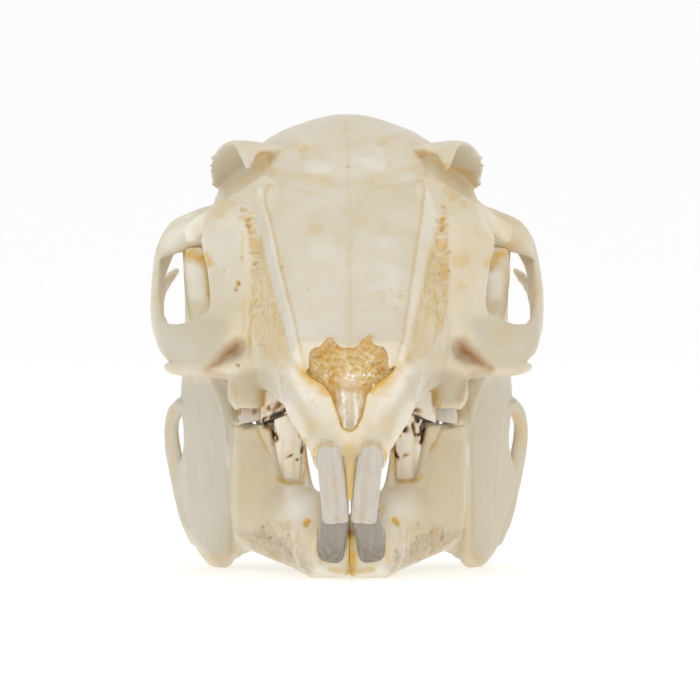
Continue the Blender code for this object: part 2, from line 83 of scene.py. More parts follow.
def smooth(rows, steps, closed=False):
    """Rows on the cubic curve that passes through the given rows and leaves each one along the
    line between its neighbours (Catmull-Rom), steps for each span."""
    rows = np.asarray(rows, float)
    if closed:
        ends = np.concatenate([rows[-1:], rows, rows[:2]])
    else:
        ends = np.concatenate([[2 * rows[0] - rows[1]], rows, [2 * rows[-1] - rows[-2]]])
    a, b, c, d = ends[:-3, None], ends[1:-2, None], ends[2:-1, None], ends[3:, None]
    t = (np.arange(steps) / steps).reshape((1, steps) + (1,) * (rows.ndim - 1))
    curve = 0.5 * (2 * b + (c - a) * t + (2 * a - 5 * b + 4 * c - d) * t**2
                   + (3 * b - a - 3 * c + d) * t**3)
    curve = curve.reshape((-1,) + rows.shape[1:])
    return curve if closed else np.concatenate([curve, rows[-1:]])


def closed_surface(rings):
    """Points and faces of a tube through the rings, each end drawn together in its middle."""
    rows, around = rings.shape[:2]
    points = np.concatenate([rings.reshape(-1, 3), [rings[0].mean(0), rings[-1].mean(0)]])
    here = np.arange(rows * around).reshape(rows, around)
    there = np.roll(here, -1, 1)
    quads = np.stack([here[:-1], there[:-1], there[1:], here[1:]], -1).reshape(-1, 4)
    first, last = np.full(around, rows * around), np.full(around, rows * around + 1)
    fans = np.concatenate([np.stack([first, there[0], here[0]], -1),
                           np.stack([last, here[-1], there[-1]], -1)])
    corners = points[quads[:, :3]] - points.mean(0)
    outward = np.einsum("ij,ij->i", corners[:, 0], np.cross(corners[:, 1], corners[:, 2])).sum()
    if outward < 0:
        quads, fans = quads[:, ::-1], fans[:, ::-1]
    return points, quads.tolist() + fans.tolist()


def strap(stations, side=1, sides=32, steps=10, square=0.75):
    """A band of bone: its section is a rounded box (superellipse) from one edge to the other with
    the given thickness, carried along a smooth curve. A station is edge, edge, thickness."""
    rows = smooth(np.array([(*a, *b, t) for a, b, t in stations], float), steps)
    one, other, thick = rows[:, :3], rows[:, 3:6], rows[:, 6:]
    middle, half = (one + other) / 2, (other - one) / 2
    across = np.cross(np.gradient(middle, axis=0), half)
    across *= thick / 2 / np.linalg.norm(across, axis=1, keepdims=True)
    angle = 2 * np.pi * (np.arange(sides) + 0.5) / sides
    up = (np.sign(np.cos(angle)) * np.abs(np.cos(angle)) ** square)[None, :, None]
    out = (np.sign(np.sin(angle)) * np.abs(np.sin(angle)) ** square)[None, :, None]
    rings = middle[:, None] + half[:, None] * up + across[:, None] * out
    return closed_surface(rings * (side, 1, 1))


def lump(centre, radii, side=1, rows=24, sides=36):
    """An ellipsoid: latitude and longitude on a ball, stretched by the three half-sizes."""
    angle = np.pi * (np.arange(rows) + 0.5) / rows
    turn = 2 * np.pi * np.arange(sides) / sides
    ball = np.stack([np.outer(np.sin(angle), np.cos(turn)),
                     np.outer(np.sin(angle), np.sin(turn)),
                     np.outer(np.cos(angle), np.ones(sides))], -1)
    return closed_surface((np.array(centre) + ball * radii) * (side, 1, 1))


def prism(outline, y_front, y_back, taper=1.0):
    """A straight body along Y: the outline of (x, z) points, shrunk to taper at its back end."""
    outline = np.asarray(outline, float)
    middle = outline.mean(0)
    rings = [np.column_stack([ring[:, 0], np.full(len(ring), y), ring[:, 1]])
             for y, ring in ((y_front, outline), (y_back, middle + (outline - middle) * taper))]
    return closed_surface(np.array(rings))


def new_object(name, points, faces):
    """An object at the origin with the given mesh, points in millimetres."""
    mesh = bpy.data.meshes.new(name)
    mesh.from_pydata((np.asarray(points) * MM).tolist(), [], faces)
    made = bpy.data.objects.new(name, mesh)
    bpy.context.scene.collection.objects.link(made)
    return made


def joined(name, parts):
    """One object from several surfaces."""
    points, faces, count = [], [], 0
    for part_points, part_faces in parts:
        points.append(part_points)
        faces += [[i + count for i in face] for face in part_faces]
        count += len(part_points)
    return new_object(name, np.concatenate(points), faces)


def applied(thing):
    """The object with its modifiers made part of its mesh."""
    graph = bpy.context.evaluated_depsgraph_get()
    mesh = bpy.data.meshes.new_from_object(thing.evaluated_get(graph))
    thing.modifiers.clear()
    thing.data = mesh
    return thing


def places(mesh):
    """The mesh's points in millimetres."""
    flat = np.empty(len(mesh.vertices) * 3, np.float32)
    mesh.vertices.foreach_get("co", flat)
    return flat.reshape(-1, 3).astype(float) / MM


def facings(mesh):
    """The unit normals at the mesh's points."""
    flat = np.empty(len(mesh.vertices) * 3, np.float32)
    mesh.vertices.foreach_get("normal", flat)
    return flat.reshape(-1, 3).astype(float)


def put_places(mesh, points):
    """Moves the mesh's points to the given places in millimetres."""
    mesh.vertices.foreach_set("co", (points * MM).astype(np.float32).ravel())
    mesh.update()


def evened(mesh, values, rounds):
    """Values at the mesh's points, each taken half way to the mean of its neighbours and then back
    out by a little more (Taubin), so that steps and creases soften and the size stays."""
    ends = np.empty(len(mesh.edges) * 2, np.int32)
    mesh.edges.foreach_get("vertices", ends)
    one, other = ends.reshape(-1, 2).T
    degree = np.bincount(ends, minlength=len(values))[:, None]
    for factor in (0.5, -0.52) * rounds:
        total = np.stack([np.bincount(one, column[other], len(values))
                          + np.bincount(other, column[one], len(values))
                          for column in values.T], -1)
        values = values + factor * (total / degree - values)
    return values


def skinned(name, parts, width=SKIN, rounds=8):
    """One closed skin round the overlapping parts."""
    made = joined(name, parts)
    skin = made.modifiers.new("skin", "REMESH")
    skin.mode = "VOXEL"
    skin.voxel_size = width * MM
    applied(made)
    put_places(made.data, evened(made.data, places(made.data), rounds))
    return made


def cut(thing, parts):
    """The object less closed cutters."""
    knife = joined("knife", parts)
    step = thing.modifiers.new("cut", "BOOLEAN")
    step.operation = "DIFFERENCE"
    step.solver = "MANIFOLD"
    step.object = knife
    applied(thing)
    bpy.data.objects.remove(knife)


def thinned(thing, spare, most=MOST):
    """Takes points away where spare is 1, flat places first, until at most that many are left."""
    count = len(thing.data.vertices)
    if count <= most:
        return
    group = thing.vertex_groups.new(name="spare")
    group.add(np.nonzero(spare)[0].tolist(), 1.0, "REPLACE")
    step = thing.modifiers.new("thin", "DECIMATE")
    step.ratio = most / count
    step.vertex_group = "spare"
    applied(thing)
    thing.vertex_groups.clear()


def ease(value, low, high):
    """0 below low and 1 above high, with a smooth rise between."""
    share = np.clip((value - low) / (high - low), 0, 1)
    return share * share * (3 - 2 * share)


def apart(spot, path):
    """For each spot the distance to the nearest stretch of the path, and how far along it is, in
    stretches."""
    path = np.asarray(path, float)
    start, step = path[:-1], np.diff(path, axis=0)
    ahead = spot[:, None] - start
    share = np.clip((ahead * step).sum(-1) / (step ** 2).sum(-1), 0, 1)
    gap = np.linalg.norm(ahead - share[..., None] * step, axis=-1)
    nearest = gap.argmin(1)
    here = np.arange(len(spot))
    return gap[here, nearest], nearest + share[here, nearest]


def inside(spot, outline):
    """Distance to a closed outline, above 0 inside it (an odd number of crossings to one side)."""
    around = np.asarray(list(outline) + [outline[0]], float)
    gap, _ = apart(spot, around)
    (x1, y1), (x2, y2) = around[:-1].T, around[1:].T
    rise = np.where(y2 == y1, 1e-9, y2 - y1)
    crossed = (y1 > spot[:, 1:]) != (y2 > spot[:, 1:])
    left = spot[:, :1] < (x2 - x1) * (spot[:, 1:] - y1) / rise + x1
    return np.where((crossed & left).sum(1) % 2 == 1, gap, -gap)


def dots(spot, table):
    """The strongest of some round spots: (across, down, radius, strength) rows with soft edges."""
    total = np.zeros(len(spot))
    for x, y, radius, strength in table:
        gap = np.hypot(spot[:, 0] - x, spot[:, 1] - y)
        total = np.maximum(total, strength * (1 - ease(gap, 0.4 * radius, 1.25 * radius)))
    return total


def strokes(spot, table):
    """The strongest of some soft brush strokes: (strength, half its width in pixels, path) rows."""
    total = np.zeros(len(spot))
    for strength, half, path in table:
        low, high = np.min(path, axis=0) - 1.2 * half, np.max(path, axis=0) + 1.2 * half
        near = np.nonzero(((spot > low) & (spot < high)).all(1))[0]
        if len(near):
            gap, _ = apart(spot[near], path)
            total[near] = np.maximum(total[near], strength * (1 - ease(gap / half, 0.2, 1.15)))
    return total


def washes(spot, table):
    """The strongest of some washed areas: (strength, softness of the edge in pixels, outline)."""
    total = np.zeros(len(spot))
    for strength, soft, outline in table:
        low, high = np.min(outline, axis=0) - soft, np.max(outline, axis=0) + soft
        near = np.nonzero(((spot > low) & (spot < high)).all(1))[0]
        if len(near):
            total[near] = np.maximum(total[near], strength * ease(inside(spot[near], outline),
                                                                  -soft / 2, soft / 2))
    return total


def chance(cell, salt):
    """A fixed number from 0 to 1 for each whole-numbered cell: the fraction of a large sine."""
    mixed = np.sin(cell @ np.array((127.1, 311.7, 74.7)) + salt) * 43758.5453
    return mixed - np.floor(mixed)


def cloud(points, size, salt=0.0):
    """Smooth unevenness from 0 to 1: a chance value at each corner of cells, eased between them."""
    place = points / size
    cell = np.floor(place)
    share = ease(place - cell, 0, 1)
    total = 0.0
    for corner in np.ndindex(2, 2, 2):
        weight = np.prod(np.where(corner, share, 1 - share), axis=1)
        total = total + weight * chance(cell + corner, salt)
    return total


def cells(points, size, salt=0.0):
    """Distances to the nearest and the next nearest of points strewn one to a cell, in cells."""
    place = points / size
    cell = np.floor(place)
    gaps = []
    for corner in np.ndindex(3, 3, 3):
        other = cell + corner - 1
        seat = np.stack([chance(other, salt + k) for k in (1.7, 5.1, 9.4)], -1)
        gaps.append(np.linalg.norm(other + seat - place, axis=1))
    gaps = np.sort(np.array(gaps), axis=0)
    return gaps[0], gaps[1]


def note(mesh, name, values):
    """Keeps a number for each of the mesh's points, for its material to read."""
    mesh.attributes.new(name, "FLOAT", "POINT").data.foreach_set("value", values.astype(np.float32))


# Sections from the nose to the nape: depth at the crown, depth at the keel, and half of the outline
# from crown to keel as (x, z).
SECTIONS = [
    (-31.4, -29.35, [(0, 17.7), (1.7, 17.9), (3.3, 17.6), (3.9, 16.7), (4.1, 15.4), (3.9, 14.0),
                     (3.6, 12.8), (3.1, 11.7), (2.4, 10.7), (1.3, 10.5), (0, 10.6)]),
    (-31.0, -28.9, [(0, 18.5), (2.2, 18.8), (4.0, 18.6), (4.6, 17.3), (4.7, 15.7), (4.5, 14.1),
                    (4.1, 12.5), (3.5, 11.0), (2.7, 9.7), (1.4, 9.7), (0, 9.9)]),
    (-27.0, -26.4, [(0, 20.3), (2.4, 20.4), (4.4, 19.7), (5.1, 18.3), (5.3, 16.6), (5.3, 14.9),
                    (5.0, 13.4), (4.3, 12.0), (3.2, 11.0), (1.6, 11.0), (0, 11.1)]),
    (-22.0, -22.0, [(0, 22.6), (2.8, 22.6), (4.9, 21.7), (5.6, 20.3), (5.9, 18.4), (5.9, 16.6),
                    (5.6, 15.0), (4.9, 13.5), (3.6, 12.5), (1.8, 12.5), (0, 12.6)]),
    (-16.0, -16.0, [(0, 25.4), (3.1, 25.3), (5.3, 24.3), (6.4, 22.8), (6.8, 20.8), (6.9, 18.6),
                    (6.9, 16.7), (6.3, 14.7), (4.6, 13.4), (2.2, 13.4), (0, 13.5)]),
    (-11.4, -11.4, [(0, 27.6), (3.3, 27.5), (6.0, 26.6), (7.1, 24.9), (7.8, 22.4), (8.2, 20.0),
                    (8.2, 17.8), (7.7, 15.7), (6.6, 14.8), (3.6, 14.6), (0, 14.6)]),
    (-7.4, -7.4, [(0, 29.5), (3.5, 29.4), (6.5, 28.7), (7.9, 27.2), (7.8, 24.8), (8.0, 22.2),
                  (9.0, 19.2), (9.5, 16.0), (9.0, 13.4), (4.6, 14.2), (0, 14.7)]),
    (-3.0, -3.0, [(0, 31.5), (3.4, 31.4), (6.3, 30.9), (6.9, 29.6), (5.4, 27.0), (4.4, 24.0),
                  (7.4, 20.0), (9.4, 16.6), (8.9, 13.7), (4.6, 14.4), (0, 14.9)]),
    (1.0, 1.0, [(0, 33.6), (3.2, 33.4), (6.0, 32.7), (6.2, 31.2), (4.4, 28.2), (3.2, 24.6),
                (5.2, 20.4), (8.0, 17.2), (7.4, 14.8), (4.0, 15.0), (0, 16.4)]),
    (5.0, 5.0, [(0, 35.8), (3.4, 35.5), (6.2, 34.6), (6.7, 32.8), (5.2, 29.9), (4.0, 26.6),
                (3.5, 23.6), (3.4, 21.4), (3.0, 20.0), (1.6, 19.6), (0, 19.6)]),
    (9.0, 9.0, [(0, 37.3), (3.5, 36.8), (6.6, 35.5), (8.3, 33.1), (8.6, 30.2), (7.6, 27.0),
                (6.2, 24.2), (4.8, 22.0), (3.2, 20.8), (1.6, 20.4), (0, 20.4)]),
    (12.5, 12.5, [(0, 37.7), (3.7, 36.9), (7.2, 35.0), (9.8, 32.6), (10.9, 29.9), (10.6, 27.0),
                  (9.4, 24.4), (7.0, 22.4), (4.2, 21.3), (2.0, 21.0), (0, 21.0)]),
    (16.5, 16.5, [(0, 36.9), (3.8, 36.2), (7.5, 34.3), (10.3, 31.8), (11.4, 29.1), (11.3, 26.6),
                  (10.0, 24.3), (7.4, 22.6), (4.4, 21.8), (2.0, 21.5), (0, 21.5)]),
    (20.5, 20.5, [(0, 35.4), (3.7, 34.8), (7.1, 33.1), (9.5, 30.8), (10.6, 28.3), (10.3, 26.1),
                  (9.0, 24.3), (6.6, 22.9), (4.0, 22.2), (1.8, 21.9), (0, 21.9)]),
    (24.8, 24.8, [(0, 33.2), (3.3, 32.7), (6.2, 31.3), (8.2, 29.4), (9.0, 27.4), (8.6, 25.7),
                  (7.4, 24.4), (5.4, 23.3), (3.4, 22.7), (1.6, 22.5), (0, 22.5)]),
    (28.6, 28.6, [(0, 30.4), (2.5, 30.1), (4.6, 29.2), (6.0, 27.9), (6.5, 26.6), (6.2, 25.5),
                  (5.2, 24.6), (3.9, 23.9), (2.6, 23.5), (1.2, 23.3), (0, 23.3)]),
]
# Forms that stand out from the body, for the animal's left side. A strap is a row of stations:
# edge, edge, thickness. A lump is a centre and three half-sizes.
EYE_RIM = [
    ((6.9, -1.0, 32.2), (5.2, -3.0, 31.0), 1.1),
    ((9.0, -2.8, 30.7), (5.8, -6.0, 28.8), 1.4),
    ((10.8, -5.0, 29.4), (6.6, -9.0, 26.6), 1.7),
    ((11.8, -6.6, 27.2), (7.2, -10.6, 24.4), 1.8),
    ((11.2, -7.2, 24.6), (7.3, -11.4, 22.0), 2.0),
    ((10.9, -7.6, 21.6), (7.4, -11.6, 18.6), 2.2),
    ((12.0, -7.6, 20.0), (8.0, -10.6, 16.4), 2.4),
]
ARCH = [
    ((8.4, -8.4, 21.2), (8.4, -10.2, 15.4), 2.4),
    ((11.2, -7.8, 20.9), (11.2, -9.6, 15.9), 2.1),
    ((13.3, -7.4, 20.1), (13.4, -8.8, 16.2), 1.8),
    ((14.8, -6.2, 20.2), (14.5, -7.6, 17.3), 1.5),
    ((15.4, -3.0, 21.0), (15.1, -3.4, 18.5), 1.1),
    ((15.75, 2.0, 22.4), (15.5, 1.8, 18.9), 1.0),
    ((15.8, 7.0, 24.4), (15.6, 7.4, 20.0), 1.0),
    ((15.5, 10.4, 27.0), (15.75, 11.6, 22.4), 0.8),
    ((14.3, 11.6, 28.7), (14.6, 13.4, 26.2), 1.2),
    ((12.6, 12.0, 29.5), (12.8, 14.4, 26.0), 1.8),
    ((10.0, 12.8, 30.2), (10.2, 15.4, 27.2), 2.2),
]
CHEEK_SPUR = [
    ((15.6, 9.0, 24.6), (15.5, 9.4, 21.4), 0.8),
    ((15.3, 12.6, 24.0), (15.35, 12.8, 22.6), 0.7),
    ((14.7, 15.4, 24.6), (14.8, 15.4, 23.6), 0.6),
    ((14.2, 17.4, 25.0), (14.3, 17.2, 24.4), 0.5),
]
CHEEK_SPINE = [
    ((13.2, -8.0, 17.8), (13.0, -8.6, 15.9), 1.8),
    ((14.2, -8.6, 17.0), (14.0, -8.8, 16.1), 1.2),
    ((14.8, -9.0, 16.9), (14.7, -9.0, 16.4), 0.7),
]
BROW = [
    ((8.0, -1.4, 32.8), (8.35, -1.4, 33.0), 0.4),
    ((7.6, 0.4, 33.5), (8.8, 0.6, 34.0), 0.5),
    ((7.1, 1.9, 34.2), (9.2, 2.0, 34.8), 0.55),
    ((5.2, 3.3, 34.5), (9.5, 3.4, 35.1), 0.7),
    ((5.4, 5.6, 34.4), (10.4, 5.6, 34.9), 0.7),
    ((7.2, 8.6, 34.0), (11.1, 8.4, 34.0), 0.7),
    ((8.8, 11.2, 33.2), (11.3, 10.8, 32.8), 0.7),
    ((10.2, 13.4, 32.0), (11.1, 13.2, 31.7), 0.7),
]
BROW_CHIPS = [((11.2, 8.4, 33.95), 0.19), ((11.32, 9.4, 33.3), 0.15), ((11.2, 10.3, 32.95), 0.22),
              ((11.25, 11.0, 32.62), 0.13), ((11.1, 12.5, 31.85), 0.2), ((10.8, 7.4, 34.4), 0.13)]
TEAR_FLAP = [
    ((9.9, -3.6, 30.4), (10.8, -3.0, 29.6), 0.7),
    ((11.4, -5.4, 29.4), (11.6, -5.2, 27.6), 1.0),
    ((12.6, -6.1, 28.6), (12.4, -6.0, 26.8), 1.0),
    ((13.3, -6.2, 27.9), (13.1, -6.1, 26.8), 0.8),
]
WING_PLATE = [
    ((2.2, -0.5, 21.0), (3.0, -0.5, 15.4), 1.1),
    ((2.4, 3.5, 21.0), (3.4, 3.5, 15.4), 0.9),
    ((2.6, 7.5, 21.6), (3.9, 7.5, 16.2), 0.9),
    ((3.4, 11.5, 22.4), (4.4, 11.2, 18.4), 0.9),
]
NECK_SPUR = [
    ((6.2, 24.4, 26.0), (8.2, 23.6, 26.0), 2.0),
    ((6.8, 24.8, 22.4), (8.4, 24.2, 22.4), 1.4),
    ((7.2, 25.2, 19.0), (8.0, 24.9, 19.0), 0.8),
]
EAR_TUBE = [
    ((8.4, 18.6, 22.6), (8.4, 22.2, 23.6), 3.4),
    ((10.6, 18.4, 25.0), (10.6, 21.6, 25.8), 3.0),
    ((12.0, 18.3, 26.4), (12.0, 21.2, 27.2), 2.8),
]
EAR_HOLE = [
    ((10.0, 18.9, 24.7), (10.0, 21.0, 25.3), 1.7),
    ((11.2, 18.9, 25.9), (11.2, 20.8, 26.5), 1.6),
    ((13.4, 18.9, 28.2), (13.4, 20.6, 28.8), 1.6),
]
EAR_CAPSULE = ((7.6, 18.2, 22.6), (3.4, 4.7, 4.3))
NECK_JOINT = ((3.6, 28.2, 24.8), (2.0, 2.9, 2.5))
NAPE_SHIELD = ((0, 24.4, 32.0), (3.6, 3.8, 1.8))
NAPE_HOLE = ((0, 29.4, 26.4), (2.8, 6.0, 2.6))
PALATE_SLIT = [
    ((1.3, -25.4, 9.0), (1.3, -25.4, 13.6), 0.8),
    ((1.35, -21.0, 9.0), (1.35, -21.0, 14.8), 2.0),
    ((1.6, -14.0, 9.0), (1.6, -14.0, 16.0), 2.5),
    ((1.5, -9.0, 9.0), (1.5, -9.0, 16.4), 1.8),
    ((1.4, -7.6, 9.0), (1.4, -7.6, 16.4), 0.7),
]
THROAT = [
    ((0, -1.2, 10.0), (0, -1.2, 17.4), 3.2),
    ((0, 3.0, 10.0), (0, 3.0, 19.0), 3.8),
    ((0, 8.0, 12.0), (0, 8.0, 20.2), 4.2),
    ((0, 12.0, 15.0), (0, 12.0, 20.8), 3.0),
]
INCISOR_WEDGE = [
    ((0, -28.8, 12.0), (0, -27.0, 12.0), 3.2),
    ((0, -28.95, 10.6), (0, -27.2, 10.6), 2.4),
    ((0, -28.9, 9.2), (0, -27.2, 9.2), 1.2),
    ((0, -28.6, 7.4), (0, -27.2, 7.4), 0.6),
    ((0, -28.3, 6.2), (0, -27.2, 6.2), 0.4),
]
INCISOR_SHEATH = [
    ((2.9, -28.3, 12.0), (2.9, -26.6, 12.0), 1.5),
    ((2.75, -28.6, 10.4), (2.75, -26.6, 10.4), 0.9),
    ((2.55, -28.5, 9.2), (2.55, -26.6, 9.2), 0.6),
    ((2.45, -28.3, 8.7), (2.45, -26.9, 8.7), 0.35),
]
CHEEK_WALL = [
    ((6.95, -10.9, 13.35), (8.9, -10.0, 13.3), 1.2),
    ((6.9, -11.0, 14.6), (9.3, -9.9, 14.4), 1.8),
    ((6.6, -11.1, 16.2), (9.6, -9.8, 16.2), 2.4),
    ((6.2, -11.0, 17.8), (9.8, -9.6, 18.2), 2.6),
]
JOINT_SHELF = [
    ((9.2, 9.4, 30.0), (9.2, 9.6, 27.0), 3.0),
    ((12.2, 9.0, 29.1), (12.2, 9.6, 26.5), 2.8),
    ((14.2, 8.9, 28.3), (14.3, 9.4, 26.1), 2.2),
    ((15.5, 9.0, 27.4), (15.5, 9.4, 25.6), 1.4),
]
TOOTH_WALL = [
    ((8.7, -9.6, 13.4), (8.3, -9.4, 16.4), 1.0),
    ((8.9, -8.0, 13.2), (8.4, -8.0, 16.4), 1.1),
    ((9.0, -5.6, 13.1), (8.6, -5.6, 16.4), 1.1),
    ((8.8, -2.6, 13.2), (8.6, -2.6, 16.4), 1.1),
    ((7.8, -0.2, 13.6), (7.8, -0.2, 16.0), 0.9),
]


def skull_body():
    """The loft of SECTIONS: each half outline is mirrored to a ring, and rings and sections are
    both smoothed. A point's depth goes from the crown's to the keel's as its height falls."""
    rings = []
    for y_crown, y_keel, half in SECTIONS:
        half = np.array(half, float)
        share = (half[0, 1] - half[:, 1]) / (half[0, 1] - half[-1, 1])
        left = np.column_stack([half[:, 0], y_crown + (y_keel - y_crown) * share, half[:, 1]])
        rings.append(np.concatenate([left, (left * (-1, 1, 1))[-2:0:-1]]))
    rings = smooth(np.array(rings), 12)
    return closed_surface(smooth(rings.transpose(1, 0, 2), 8, closed=True).transpose(1, 0, 2))


# The raised strip along each side of the snout: its middle line in pixels and half its width.
STRIPS = [
    [(260, 190, 3.5), (260.5, 205, 4.5), (264.5, 225, 6), (270.3, 249, 7), (275, 271, 6.5),
     (282, 299, 6), (288.5, 318, 5.5), (292.5, 337, 5), (297, 356, 4), (302, 367, 3)],
    [(427, 193, 3.5), (429, 203, 6.5), (430, 217, 9), (424.7, 244, 8), (420.8, 266, 7),
     (416.8, 285, 6), (412.8, 305, 5), (409.8, 321, 4.5), (406.5, 341, 4), (400, 360, 3)],
]
# The lines where the face's bones meet: beside the nose bones, behind them, and up the forehead.
SIDE_SEAMS = [
    [(269, 184), (266.5, 189), (264.8, 199.5), (271.2, 222), (276.3, 244), (280.1, 266),
     (285.2, 284), (288.4, 299), (294, 318), (298, 338), (301.5, 352)],
    [(422, 181), (424, 190), (421.4, 215), (418.9, 230), (416.3, 247), (413.8, 266),
     (411.2, 282), (409, 299), (406, 318), (403.6, 337), (398, 355)],
]
FAINT_SEAMS = [
    [(269, 184), (280, 186.5), (303, 190.5), (325, 196), (345, 209), (352, 211), (359, 206),
     (365, 197), (373, 189), (382, 186.7), (399, 185.5), (409, 182.5), (422, 181)],
    [(346, 114), (347, 135), (349, 160), (348, 185), (350, 210), (349, 260), (350, 300),
     (350, 347)],
]
# The network of openings in the snout's side wall, on each side.
NETWORK = [
    [(246, 212), (253, 207), (257, 228), (263, 249), (268, 271), (276, 299), (282.7, 318),
     (287.8, 337),
     (291, 356), (288, 370), (275, 370), (264, 358), (256, 348), (250, 330), (247, 310), (251, 290),
     (250, 265), (247, 240)],
    [(440, 215), (436, 228), (433, 244), (428, 266), (422.7, 285), (417.6, 305), (414, 321),
     (410, 341),
     (404, 362), (412, 368), (423, 358), (436, 345), (446, 325), (449, 300), (450, 270), (450, 245),
     (450, 225), (446, 205)],
]
# The smooth-floored recess in it, and the hollow where the cheek arch springs.
RECESS = [
    [(250, 346), (250.5, 325), (253, 314), (258.5, 311), (265, 314), (269, 325), (271, 346)],
    [(421, 352), (423, 330), (428, 316), (433, 310.5), (439, 314), (441, 330), (440, 352)],
]
HOLLOW = [
    [(203, 371), (214, 358), (222, 345), (234, 336), (244, 338), (247, 350), (240, 360), (226, 364),
     (214, 369)],
    [(494, 370), (485, 358), (476, 346), (466, 336), (455, 337), (450, 349), (455, 361), (470, 366),
     (482, 370)],
]
# Pits and pores: across, down, radius in pixels, strength.
PITS = [
    (243, 209, 2.6, 0.8), (247, 219, 2.6, 0.9), (248, 224, 2.8, 1.0), (250.5, 230, 2.4, 0.7),
    (237, 283, 2.8, 0.9), (235, 289.5, 1.8, 0.8), (224, 270, 1.3, 0.5), (241, 258, 1.6, 0.5),
    (237.6, 366, 1.9, 0.8), (281, 267, 1.3, 0.8), (439, 220, 3.0, 1.0), (441.5, 227, 2.8, 1.0),
    (443.5, 206, 2.2, 0.6), (449.5, 252, 1.8, 0.6), (449, 271, 1.6, 0.5), (351, 247, 1.1, 0.6),
]
# Round spots where fat has coloured the thin bone amber: the same columns.
WARM = [
    (304, 151, 6.5, 0.40), (294, 146, 5, 0.18), (313, 147, 4, 0.18), (347, 168, 2.6, 0.7),
    (384, 142, 5, 0.34), (396, 136, 4, 0.2), (390, 164, 3.5, 0.25), (307, 288, 2.6, 0.6),
    (316, 287, 2, 0.35), (301, 295, 2.2, 0.4), (316, 227, 10, 0.25), (324, 208, 8, 0.14),
    (386, 226, 8, 0.16), (360, 222, 11, 0.16), (398, 310, 3, 0.3), (401, 298, 2.5, 0.5),
    (383, 295, 6, 0.18), (226, 204, 9, 0.32), (219, 213, 7, 0.25), (241, 219, 5, 0.35),
    (462, 260, 10, 0.34), (455, 196, 7, 0.4), (466, 204, 6, 0.4), (448, 190, 5, 0.35),
    (462, 290, 6, 0.25), (262, 345, 5, 0.2), (273, 350, 5, 0.5), (276, 362, 4, 0.4),
    (311, 426, 9, 0.22), (387, 424, 9, 0.22), (300, 384, 2.4, 0.3), (306, 394, 2, 0.3),
    (313, 400, 2.4, 0.3), (297, 377, 2, 0.25), (318, 404, 2.5, 0.35), (386, 395, 3, 0.3),
    (403, 288, 2.4, 0.5), (392, 290, 2.0, 0.35), (449, 251, 2.2, 0.5), (449, 256, 2.0, 0.5),
    (237, 283, 3.4, 0.8), (236, 289, 2.6, 0.7), (237, 366, 2.2, 0.9), (243, 209, 3.2, 0.8),
    (248, 221, 3.6, 1.0), (250, 229, 3.2, 0.9), (440, 220, 3.8, 1.0), (443, 227, 3.4, 0.9),
    (444, 206, 2.8, 0.8), (225, 325, 8, 0.10), (203, 330, 10, 0.10), (500, 335, 10, 0.12),
]
# Amber brush strokes (strength, half-width in pixels, path): round the teeth's sockets, the nose's
# corners, the network's slots; those along the teeth's edges and under the arches' roots are
# painted shade.
AMBER_LINES = [
    (0.75, 2.6, [(314, 462), (314, 452), (318, 446), (325, 442), (331, 442), (336, 447),
                 (341, 457), (344, 466), (346.5, 480), (348, 498)]),
    (0.75, 2.6, [(386, 460), (385, 451), (380, 445), (373, 442), (366, 442), (361, 447), (357, 458),
                 (354, 468), (352, 482), (350.5, 498)]),
    (0.4, 8.0, [(349, 448), (349, 500)]),
    (0.95, 5.0, [(303, 371), (310, 379), (320, 386), (328, 394)]),
    (0.35, 9.0, [(301, 368), (308, 379), (322, 390)]),
    (0.95, 5.0, [(395, 368), (389, 376), (379, 384), (372, 390)]),
    (0.35, 9.0, [(398, 366), (390, 379), (377, 390)]),
    (0.7, 3.2, [(304, 440), (306, 458), (307, 478)]),
    (0.65, 3.0, [(261, 392), (261.5, 405), (260, 417)]),
    (0.75, 3.2, [(434, 390), (437, 401), (439, 412)]),
    (0.7, 2.6, [(250, 346), (250.5, 325), (254, 314), (258.5, 311.5), (264, 314), (268, 325)]),
    (0.7, 2.6, [(423, 330), (428, 316), (433, 310.5), (438, 314), (440, 325)]),
    (0.45, 5.0, [(258, 240), (266, 275), (274, 305), (281, 335), (284, 356)]),
    (0.45, 5.0, [(431, 255), (424, 290), (418, 315), (412, 340), (408, 358)]),
    (0.5, 1.8, [(436, 262), (435, 284)]), (0.5, 1.8, [(440, 258), (440, 285)]),
    (0.5, 1.8, [(444, 262), (444, 283)]), (0.4, 1.8, [(448, 268), (448, 284)]),
    (0.35, 2.2, [(243, 232), (241, 262)]), (0.35, 2.4, [(244, 300), (243, 334)]),
    (0.35, 1.6, [(259, 197), (264, 218), (270, 243)]),
    (0.5, 3.5, [(446, 166), (460, 170), (472, 174), (474, 179)]),
    (0.5, 3.0, [(417, 152), (424, 150), (431, 156), (440, 163)]),
    (0.5, 3.0, [(256, 158), (262, 153), (268, 152.5), (271, 156), (269, 163), (262, 171)]),
    (0.3, 5.0, [(207, 369), (214, 366), (222, 362)]),
    (0.3, 5.0, [(491, 369), (484, 364), (476, 360)]),
    (0.7, 5.0, [(184, 253), (195, 249), (206, 255), (210, 264)]),
    (0.6, 6.0, [(516, 243), (502, 251), (489, 263)]),
    (0.2, 6.0, [(270, 172), (300, 176), (330, 182)]),
    (0.2, 6.0, [(370, 180), (400, 172), (420, 166)]),
]
